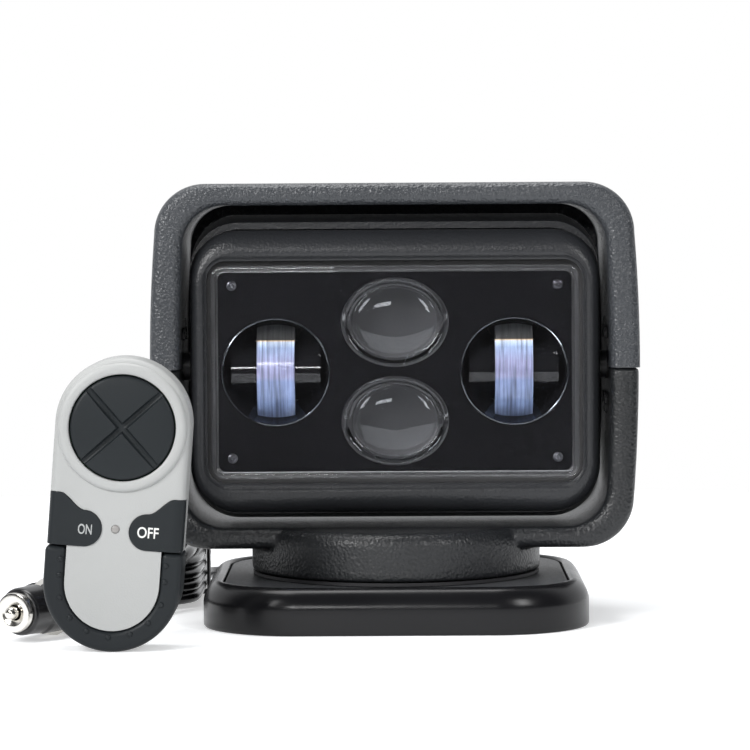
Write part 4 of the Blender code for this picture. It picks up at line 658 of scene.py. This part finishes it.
def build_head(skins):
    def about_tilt(p, d):
        return (d, p[0], p[1] + TILT_Z)

    shell = turned("shell_drum", drum(HEAD_R, HEAD_HALF_W, HEAD_SIDE_R), skins["bezel"], lay=about_tilt,
                   steps=120)
    hollow = drum(HEAD_R - HEAD_WALL, HEAD_HALF_W - HEAD_WALL, HEAD_SIDE_R - HEAD_WALL, 6)
    room = turned("room", hollow, lay=about_tilt, steps=48)
    before_split = [(-90, -100), (SPLIT_Y, -100), (SPLIT_Y, 100), (-90, 100)]
    front = prism("front", before_split, -120, 120, lay=about_tilt)
    bushes = [turned("way", [(BUSH_WAY_R, sign * 79), (BUSH_WAY_R, sign * 87)], lay=about_tilt, steps=48)
              for sign in (-1, 1)]
    combine(shell, "DIFFERENCE", room, front, *bushes)
    put(shell, "head", "head_shell")
    rings = []

    def ring(inset_w, inset_h, corner, y):
        outline = rounded_rect(HEAD_HALF_W - inset_w, BEZEL_HALF_H - inset_h, corner, 14)
        rings.append([(x, y, z + LAMP_Z) for x, z in outline])

    ring(0, 0, BEZEL_CORNER, BEZEL_BACK_Y)
    for i in range(13):
        t = math.radians(90 * i / 12)
        sink = 4.5 * (1 - math.cos(t))
        ring(sink, BEZEL_EDGE * (1 - math.cos(t)), BEZEL_CORNER - sink,
             BEZEL_FRONT_Y + BEZEL_EDGE * (1 - math.sin(t)))
    ring(5.3, 10.0, 10.5, -29.4)
    ring(5.9, 10.7, 9.8, -29.05)
    ring(6.3, 11.3, 9.2, -28.5)
    ring(6.6, 11.8, 8.7, -27.9)
    ring(7.3, 12.6, 8, -27.5)
    ring(7.3, 12.6, 8, -24.7)
    ring(2.8, 5.2, 16.3, -24.7)
    ring(2.8, 5.2, 16.3, BEZEL_BACK_Y)
    put(loft("bezel_frame", rings, skins["bezel"], closed=True), "head", "head_bezel")


# Lamp behind its clear cover

def on_lamp(p, d):
    return (p[0], d, p[1] + LAMP_Z)


def across_lamp(p, d):
    return (d, p[0], p[1] + LAMP_Z)


def merge(name, pieces):
    """One object out of several, each with its own material."""
    mesh = bpy.data.meshes.new(name)
    bm = bmesh.new()
    for piece in pieces:
        start = len(bm.faces)
        bm.from_mesh(piece.data)
        bm.faces.ensure_lookup_table()
        skin = piece.data.materials[0]
        if skin.name not in mesh.materials:
            mesh.materials.append(skin)
        index = mesh.materials.find(skin.name)
        for face in bm.faces[start:]:
            face.material_index = index
        bpy.data.objects.remove(piece, do_unlink=True)
    bm.to_mesh(mesh)
    bm.free()
    made = bpy.data.objects.new(name, mesh)
    bpy.context.collection.objects.link(made)
    return made


def build_mask(skins):
    mask = tray("mask_plate", 73.6, 41.5, 3, [(0, -22.8), (0, -23.8), (0.2, MASK_FRONT_Y)], skins["gloss"],
                lay=on_lamp, steps=6)
    tools = [turned("hole", [(MODULE_R, -20), (MODULE_R, -27)], lay=on_lamp, steps=120,
                    centre=(sign * MODULE_X, 0))
             for sign in (-1, 1)]
    tools += [turned("hole", [(22.5, -20), (22.5, -27)], lay=on_lamp, steps=120,
                     centre=(0, sign * PROJECTOR_Z), ratio=18.7 / 22.5) for sign in (-1, 1)]
    combine(mask, "DIFFERENCE", *tools)
    head = [(2.1, -23.9), (2.1, -24.4), (1.8, -24.7), (1.1, -24.8), (1.0, -24.5), (0.9, -24.2),
            (0.3, -24.1)]
    parts = [mask]
    for sx in (-1, 1):
        for sz in (-1, 1):
            spot = (sx * SCREW_X, sz * SCREW_Z)
            parts.append(turned("screw_head", head, skins["screw"], lay=on_lamp, centre=spot, steps=32))
    put(merge("mask_with_screws", parts), "head", "lamp_mask")


def build_side_modules(skins):
    for sign, hand in ((-1, "left"), (1, "right")):
        spot = (sign * MODULE_X, 0)
        cup = [(22.3, -23.9), (22.3, -23.3), (21.9, -21.5), (21.0, -18.0), (19.0, -13.5), (15.5, -9.0),
               (15.5, -8.4), (19.4, -13.0), (21.4, -17.6), (22.45, -21.5), (22.5, -23.4), (22.5, -23.9)]
        cup_piece = turned("cup", cup, skins["gloss"], lay=on_lamp, steps=120, centre=spot, closed=True)
        edge = [(22.45, -23.7), (22.45, -24.05), (22.15, -24.15), (21.9, -24.0), (21.95, -23.7)]
        rim = turned("rim", edge, skins["mirror"], lay=on_lamp, steps=120, centre=spot, closed=True)
        outline = arc((DRUM_Y, 0), DRUM_R, 90, 206, 22)
        outline += [(-9.2, -DRUM_R), (-4.2, -DRUM_R), (-4.2, DRUM_R)]
        drum_piece = prism("drum", outline, spot[0] - 18.6, spot[0] + 18.6, skins["gloss"],
                           lay=across_lamp)
        put(merge(f"side_module_{hand}", [cup_piece, rim, drum_piece]), "head", f"side_reflector_{hand}")
        top = math.degrees(math.asin(20.5 / 25))
        front = arc((1.2, 0), 25, 180 - top, 180 + top, 48)
        back = arc((DRUM_Y, 0), 12.6, 270, 90, 32)
        strip = prism(f"strip_lens_{hand}_fine", front + back, spot[0] - 7.9, spot[0] + 7.9,
                      skins["strip"], lay=across_lamp)
        put(round_edges(strip, 0.3), "head", f"strip_lens_{hand}")


def build_projectors(skins):
    ratio = PROJECTOR_HALF_H / PROJECTOR_HALF_W
    for sign, hand in ((1, "upper"), (-1, "lower")):
        spot = (0, sign * PROJECTOR_Z)
        profile = [(16.0, -5.7), (19.3, -16.3), (21.9, -19.0), (22.3, -20.3), (22.3, -22.6), (22.1, -23.1),
                   (21.4, -23.3), (20.4, -23.1), (19.6, -22.4), (19.0, -21.9), (18.2, -21.7), (17.4, -21.9)]
        for i in range(1, 15):
            t = math.radians(90 * i / 15)
            profile.append((17.2 * math.cos(t) ** 0.75, -21.9 - 3.1 * math.sin(t)))
        lens = turned(f"dome_{hand}", profile, skins["lens"], lay=on_lamp, centre=spot, steps=120,
                      ratio=ratio)
        notches = []
        for side in (-1, 1):
            notches.append(prism("notch", [(x + side * 18.6, z + spot[1]) for x, z in
                                           rounded_rect(1.5, 2.6, 0.6, 4)], -24.0, -22.2, lay=on_lamp))
        combine(lens, "DIFFERENCE", *notches)
        put(lens, "head", f"projector_lens_{hand}")


def build_cover(skins):
    profile = [(2.1, -27.5), (1.95, -28.0), (1.7, -28.25), (1.4, -28.3), (0.8, -28.3), (0.35, -28.15),
               (0.08, -27.85), (0, -27.4), (0, -22.8), (2.2, -22.8), (2.2, -24.8), (2.35, -25.15),
               (2.7, -25.3)]
    cover = tray("clear_cover", LENS_HALF_W, LENS_HALF_H, 5, profile, skins["cover"], lay=on_lamp, steps=14,
                 smooth=30)
    put(cover, "head", "lens_cover")


def build_lamp(skins):
    build_mask(skins)
    build_side_modules(skins)
    build_projectors(skins)
    build_cover(skins)


# Handheld remote, in its own frame: x across, z up from its lower end

REMOTE = (Matrix.Translation((-113 * MM, -105 * MM, 0)) @ Matrix.Rotation(math.radians(4.5), 4, "Y")
          @ Matrix.Translation((0, 0, 0.6 * MM)))
REMOTE_HALF_W = 26.5
REMOTE_HALF_H = 57.5
PAD_Z = 87.6
PAD_SEAT_R = 20.9
DOOR_Z = 64.05
LED_Z = 47.9
GRIP_TOP = 40.0
STEM_Z = 50.7
KEY_HIGH = 61.0
NOSE_X, NOSE_Z, NOSE_R = 12.4, 47.5, 7.1


def u_band(outer_inset, inner_inset, top, steps=32):
    """A U round the remote's lower end, open above the height top."""
    outer_r, inner_r = REMOTE_HALF_W - outer_inset, REMOTE_HALF_W - inner_inset
    points = [(-outer_r, top)]
    points += arc((0, REMOTE_HALF_W), outer_r, 180, 360, steps)
    points += [(outer_r, top), (inner_r, top)]
    points += arc((0, REMOTE_HALF_W), inner_r, 360, 180, steps)
    return points + [(-inner_r, top)]


def key_outline(side, grow=0.0):
    """A key that starts outside the remote's edge and narrows in a long curve to its round nose."""
    nose_r = NOSE_R + grow
    nose_top = NOSE_Z + nose_r
    curve_w = REMOTE_HALF_W - 4 - NOSE_X
    rise = KEY_HIGH + grow - nose_top
    points = [(30.5, KEY_HIGH + grow)]
    for i in range(20, 0, -1):
        t = i / 20
        points.append((NOSE_X + curve_w * t - 0.6 * grow, nose_top + rise * t * t * (3 - 2 * t)))
    points += arc((NOSE_X, NOSE_Z), nose_r, 90, 270, 32)
    points.append((30.5, NOSE_Z - nose_r))
    return [(side * x, z) for x, z in points]


def shell_piece(name, profile, skin, steps=32):
    return tray(name, REMOTE_HALF_W, REMOTE_HALF_H, REMOTE_HALF_W, profile, skin, lay=lay_xz,
                middle=(0, REMOTE_HALF_H), steps=steps)


def to_remote(piece, body, *stands_for):
    piece.data.transform(REMOTE)
    return put(piece, body, *stands_for)


def build_remote_shells(skins):
    profile = [(4.2, -12.5), (2.9, -12.42), (1.9, -12.15), (1.1, -11.65), (0.5, -10.9), (0.15, -9.9),
               (0, -8.7), (0, -4), (0, -0.35), (0.2, -0.15)]
    front = shell_piece("remote_front", profile, skins["pale"])
    profile = [(0.2, 0.15), (0, 0.35), (0, 7.5), (0.2, 8.8), (0.7, 10.1), (1.5, 11.2), (2.7, 12.0),
               (4.4, 12.5)]
    rear = shell_piece("remote_rear", profile, skins["pale"])
    tools = [prism("groove", u_band(-4, 8.0, GRIP_TOP + 0.3), -16, 16, lay=lay_xz)]
    tools.append(turned("pad_hole", [(PAD_SEAT_R, -17), (PAD_SEAT_R, -6.5)], lay=lay_xz,
                        centre=(0, PAD_Z), steps=96))
    tools.append(turned("led_way", [(1.7, -14), (1.7, -7.5)], lay=lay_xz, centre=(0, LED_Z), steps=32))
    for side in (-1, 1):
        tools.append(prism("key_way", key_outline(side, 0.1), -18, -2.2, lay=lay_xz))
    profile = [(25.4, -11), (25.4, -11.6), (25.2, -12.5), (24.9, -13.2), (24.3, -13.75), (23.5, -14.05),
               (22.6, -14.1), (21.7, -14.05), (21.2, -13.9), (PAD_SEAT_R, -13.5), (20.0, -13.5),
               (20.0, -11)]
    ring = turned("pad_ring", profile, lay=lay_xz, centre=(0, PAD_Z), steps=120)
    combine(front, "UNION", ring)
    for low, high, width in ((42.6, 112.8, 24.3), (11.5, 49.3, 14.2)):
        half = (high - low) / 2
        tools.append(tray("room", width, half, width, [(0, -10.3), (0, 1)], lay=lay_xz,
                          middle=(0, low + half), steps=16))
    combine(front, "DIFFERENCE", *tools)
    to_remote(front, "base", "remote_front_shell")
    tools = [prism("groove", u_band(-4, 8.0, GRIP_TOP + 0.3), -16, 16, lay=lay_xz),
             tray("door_way", 12.1, 21.1, 3, [(0, 7.5), (0, 14)], lay=lay_xz, middle=(0, DOOR_Z), steps=6),
             tray("room", 24.3, 35.1, 24.3, [(0, -1), (0, 10.3)], lay=lay_xz, middle=(0, 77.7), steps=16),
             tray("room", 14.2, 18.9, 14.2, [(0, -1), (0, 10.3)], lay=lay_xz, middle=(0, 30.4), steps=16)]
    combine(rear, "DIFFERENCE", *tools)
    to_remote(rear, "base", "remote_rear_shell")


def build_grip(skins):
    grip = prism("grip", u_band(-0.4, 7.9, GRIP_TOP, 48), -12.7, 12.7, skins["slate"], lay=lay_xz)
    round_edges(grip, 2.2)
    spots = [(21 * math.cos(math.radians(a)), REMOTE_HALF_W + 21 * math.sin(math.radians(a)))
             for a in (199, 223, 246, 270, 294, 317, 341)]
    spots += [(side * 20.6, z) for side in (-1, 1) for z in (28.7, 35)]
    bumps = [turned("bump", [(1.15, -12.3), (1.12, -12.75), (0.95, -13.0), (0.6, -13.2), (0.2, -13.28)],
                    skins["slate"], lay=lay_xz, centre=spot, steps=24) for spot in spots]
    to_remote(merge("grip_with_bumps", [grip, *bumps]), "base", "remote_grip")


def lettering(word, centre, size, depth, skin):
    """Flat raised letters, scaled to the wanted width and height in millimetres."""
    data = bpy.data.curves.new("letters", "FONT")
    data.body = word
    data.extrude = 0.04
    data.offset = 0.012
    text = bpy.data.objects.new("letters", data)
    bpy.context.collection.objects.link(text)
    bpy.context.view_layer.update()
    mesh = bpy.data.meshes.new_from_object(text.evaluated_get(bpy.context.evaluated_depsgraph_get()))
    bpy.data.objects.remove(text, do_unlink=True)
    low = [min(v.co[i] for v in mesh.vertices) for i in (0, 1)]
    high = [max(v.co[i] for v in mesh.vertices) for i in (0, 1)]
    for v in mesh.vertices:
        x = ((v.co.x - low[0]) / (high[0] - low[0]) - 0.5) * size[0] + centre[0]
        z = ((v.co.y - low[1]) / (high[1] - low[1]) - 0.5) * size[1] + centre[1]
        v.co = Vector((x, depth - v.co.z * 1.5, z)) * MM
    mesh.materials.clear()
    mesh.materials.append(skin)
    made = bpy.data.objects.new(f"print_{word.lower()}", mesh)
    bpy.context.collection.objects.link(made)
    return made


def build_keys(skins):
    words = {"on": ("ON", (-11.8, 47.2), (5.4, 4.0), skins["ink_dim"]),
             "off": ("OFF", (12.8, 47.5), (8.3, 4.3), skins["ink"])}
    profile = [(4.6, -13.2), (3.2, -13.1), (2.1, -12.8), (1.2, -12.25), (0.55, -11.4), (0.15, -10.4),
               (0, -9.2), (0, -3.8)]
    for side, name in ((-1, "on"), (1, "off")):
        key = shell_piece(f"key_{name}", profile, skins["slate"])
        blank = prism("blank", key_outline(side), -15.5, -3.7, lay=lay_xz)
        combine(key, "INTERSECT", blank)
        round_edges(key, 0.35)
        word, centre, size, ink = words[name]
        letters = lettering(word, centre, size, -13.2, ink)
        stem = turned("stem", [(2.2, -9.5), (2.2, -3.8)], skins["slate"], lay=lay_xz,
                      centre=(side * NOSE_X, STEM_Z), steps=24)
        to_remote(merge(f"{name}_key_fine", [key, stem, letters]), f"{name}_key", f"remote_{name}_key")


def build_pad(skins):
    pivot = (0, -11, PAD_Z)
    profile = [(3.5, 2.5), (3.5, 1.2), (19.9, 1.2), (20.25, 0.9), (20.3, 0.4), (20.3, -1.8), (20.2, -2.3),
               (19.8, -2.75), (19.0, -3.0), (17.0, -3.2), (14, -3.45), (10.5, -3.65), (7, -3.78),
               (3.5, -3.8), (1, -3.8)]
    pad = turned("pad", profile, skins["slate"], lay=lay_xz, steps=120)
    grooves = []
    for turn in (45, 135):
        c, s = math.cos(math.radians(turn)), math.sin(math.radians(turn))
        outline = [(-1.7, 5.5), (1.7, 5.5), (1.5, 3.6), (1.2, 2.6), (0.7, 2.0), (0, 1.8), (-0.7, 2.0),
                   (-1.2, 2.6), (-1.5, 3.6)]
        grooves.append(loft("groove", [[(w * s + reach * c, -h, -w * c + reach * s) for w, h in outline]
                                       for reach in (-24, 24)]))
    combine(pad, "DIFFERENCE", *grooves)
    round_edges(pad, 0.3)
    pad.data.transform(Matrix.Translation(Vector(pivot) * MM))
    to_remote(pad, "rocker_pad", "remote_rocker_pad")


def build_led(skins):
    led = turned("led_dome", [(1.6, -9.9), (1.6, -12.5), (1.45, -12.75), (1.0, -12.95), (0.4, -13.0)],
                 skins["led"], lay=lay_xz, centre=(0, LED_Z), steps=40)
    to_remote(led, "base", "remote_led_window")


def build_remote(skins):
    build_remote_shells(skins)
    build_grip(skins)
    build_keys(skins)
    build_pad(skins)
    build_led(skins)


# Lighter plug on the floor

PLUG = Matrix.Translation((-153 * MM, -88 * MM, 12.2 * MM)) @ Matrix.Rotation(math.radians(-30), 4, "Z")


def build_plug(skins):
    profile = [(6.2, 3.4), (8.4, 3.4), (8.9, 3.6), (9.3, 4.2), (9.6, 5), (9.8, 14), (10.0, 15.2),
               (10.4, 15.9), (10.5, 17), (10.5, 43), (10.3, 45.5), (9.6, 48.5), (8.4, 52.5), (6.9, 56),
               (6.0, 58), (5.2, 59.3), (4.4, 59.9), (4.1, 61), (4.3, 62.2), (4.0, 63.4), (3.7, 64.4),
               (4.1, 65.6), (3.8, 66.8), (3.5, 67.8), (3.9, 69), (3.6, 70.2), (3.4, 71.4), (3.7, 72.6),
               (3.5, 74), (3.4, 78)]
    body = turned("plug_shell", profile, skins["cable"], lay=lay_xz, steps=96)
    tools = [turned("nose_way", [(3.2, 1), (3.2, 9)], lay=lay_xz, steps=40)]
    for sign in (1, -1):
        slot = [(-2.8, sign * 7.4), (2.8, sign * 7.4), (2.8, sign * 14), (-2.8, sign * 14)]
        tools.append(prism("slot", slot, 15, 36, lay=lay_xz))
    combine(body, "DIFFERENCE", *tools)
    body.data.transform(PLUG)
    put(body, "base", "plug_body")
    profile = [(7.2, 0), (7.7, 0.15), (8.0, 0.6), (8.0, 3.1), (3.2, 3.1), (3.2, 1.2), (3.5, 0.9),
               (5.0, 0.15), (5.4, 0)]
    ring = turned("plug_end_ring", profile, skins["nickel"], lay=lay_xz, steps=96, closed=True)
    ring.data.transform(PLUG)
    put(ring, "base", "plug_ring")
    tip = turned("plug_pin", [(0.5, -3.3), (1.2, -3.2), (1.8, -2.85), (2.3, -2.2), (2.6, -1.2), (2.6, 5.6)],
                 skins["nickel"], lay=lay_xz, steps=48)
    tip.data.transform(PLUG)
    put(tip, "plug_tip", "plug_tip")


# Node, material, body and edge rounding of the CAD shapes that are only smoothed
FINE_COPIES = (
    # The trunnions and tilt bushes get dark finishes so that the gap at the tilt axis stays dark: painted
    # shade.
    ("trunnion_left", "cast", "yoke", 0.2),
    ("trunnion_right", "cast", "yoke", 0.2),
    ("tilt_bush_left", "gasket", "head", 0.2),
    ("tilt_bush_right", "gasket", "head", 0.2),
    ("cord_gland", "rubber", "base", 0.3),
    ("cord_tie", "gasket", "base", 0.2),
    ("remote_battery_door", "pale", "base", 0.2),
    ("plug_contact_top", "nickel", "base", 0.1),
    ("plug_contact_bottom", "nickel", "base", 0.1),
    ("pan_bearing_ring", "cast", "base", 0.0),
)


def build_small_copies(skins):
    for node, key, body, soften in FINE_COPIES:
        fine_copy(node, skins[key], body, soften=soften)


# Supply cord: lead from the gland, stored hank, tail to the plug

HANK = Vector((-112.5 * MM, 79.5 * MM))
RUN = 40 * MM
LAYERS = (4.3, 9.3, 14.3, 19.3)
REACHES = (25, 20, 15)


def smooth_path(points, count=8):
    """Points of a smooth curve through the given points."""
    made = []
    last = len(points) - 1
    for i in range(last):
        a, b = points[max(i - 1, 0)], points[i]
        c, d = points[i + 1], points[min(i + 2, last)]
        for k in range(count):
            t = k / count
            made.append(0.5 * (2 * b + (c - a) * t + (2 * a - 5 * b + 4 * c - d) * t * t
                               + (3 * b - a - 3 * c + d) * t ** 3))
    made.append(points[-1])
    return made


def hank_points():
    """Turns from the bottom layer up: right run, near fold, left run, far fold. Each draws four numbers."""
    turns = []
    for level, height in enumerate(LAYERS):
        reaches = REACHES if level % 2 == 0 else REACHES[::-1]
        turns += [(reach, height) for reach in reaches]
    turns += [(17.5, 23.6), (22.5, 23.6)]
    points = []
    for i, (reach, height) in enumerate(turns):
        wobble = [random.uniform(-0.25, 0.25) for _ in range(4)]
        for k in (0.12, 0.37, 0.63, 0.88):
            points.append((reach + wobble[0] * math.sin(6 * k), RUN - 2 * RUN * k, height))
        if i == len(turns) - 1:
            break
        for k in range(6):
            t = -math.pi * (k + 0.5) / 6
            points.append((reach * math.cos(t), -RUN + reach * MM * math.sin(t), height))
        for k in (0.12, 0.37, 0.63, 0.88):
            points.append((-reach + wobble[1] * math.sin(6 * k), -RUN + 2 * RUN * k, height))
        after = turns[i + 1]
        for k in range(6):
            share = (k + 0.5) / 6
            t = math.pi * (1 - share)
            wide = reach + (after[0] - reach) * share
            high = height + (after[1] - height) * min(1, share * 1.6)
            points.append((wide * math.cos(t), RUN + wide * MM * math.sin(t), high))
    return [Vector((HANK.x + x * MM, HANK.y + y, z * MM)) for x, y, z in points]


def cord_route():
    lead = [(-35, 97.3, 10), (-35, 106, 9.4), (-35.6, 115.5, 7.4), (-37.8, 125.5, 4.9), (-42.3, 134.5, 3.2),
            (-50, 141, 2.6), (-61, 143.7, 2.6), (-72, 141.2, 2.9), (-80, 135.3, 3.6), (-85.2, 128.7, 4.15),
            (-87.3, 120, 4.3)]
    tail = [(-90, 36, 23.5), (-91.2, 27, 22.2), (-95.35, 15, 17.9), (-98.8, 7, 15.7), (-103.3, -1.6, 13.7),
            (-108, -10.06, 12.5), (-111, -15.2, 12.25), (-113.86, -20.2, 12.2)]
    start = [Vector(p) * MM for p in lead]
    end = [Vector(p) * MM for p in tail]
    return start + hank_points() + end


def add_cord(skins):
    route = smooth_path(cord_route(), 3)
    curve = bpy.data.curves.new("power_cord", "CURVE")
    curve.dimensions = "3D"
    curve.bevel_depth = 2.5 * MM
    curve.bevel_resolution = 3
    curve.use_fill_caps = True
    spline = curve.splines.new("POLY")
    spline.points.add(len(route) - 1)
    for point, place in zip(spline.points, route):
        point.co = (*place, 1)
    spline.use_smooth = True
    curve.materials.append(skins["cable"])
    cord = bpy.data.objects.new("power_cord", curve)
    bpy.context.collection.objects.link(cord)
    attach(cord, "base")
    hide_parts("power_cord_lead", "power_cord_hank", "power_cord_tail")


add_camera()
add_world()
add_floor()
add_lights()
skins = make_skins()
dress_nodes(skins)
build_base(skins)
build_yoke(skins)
build_head(skins)
build_lamp(skins)
build_remote(skins)
build_plug(skins)
build_small_copies(skins)
add_cord(skins)

bpy.context.scene.view_settings.view_transform = "Standard"
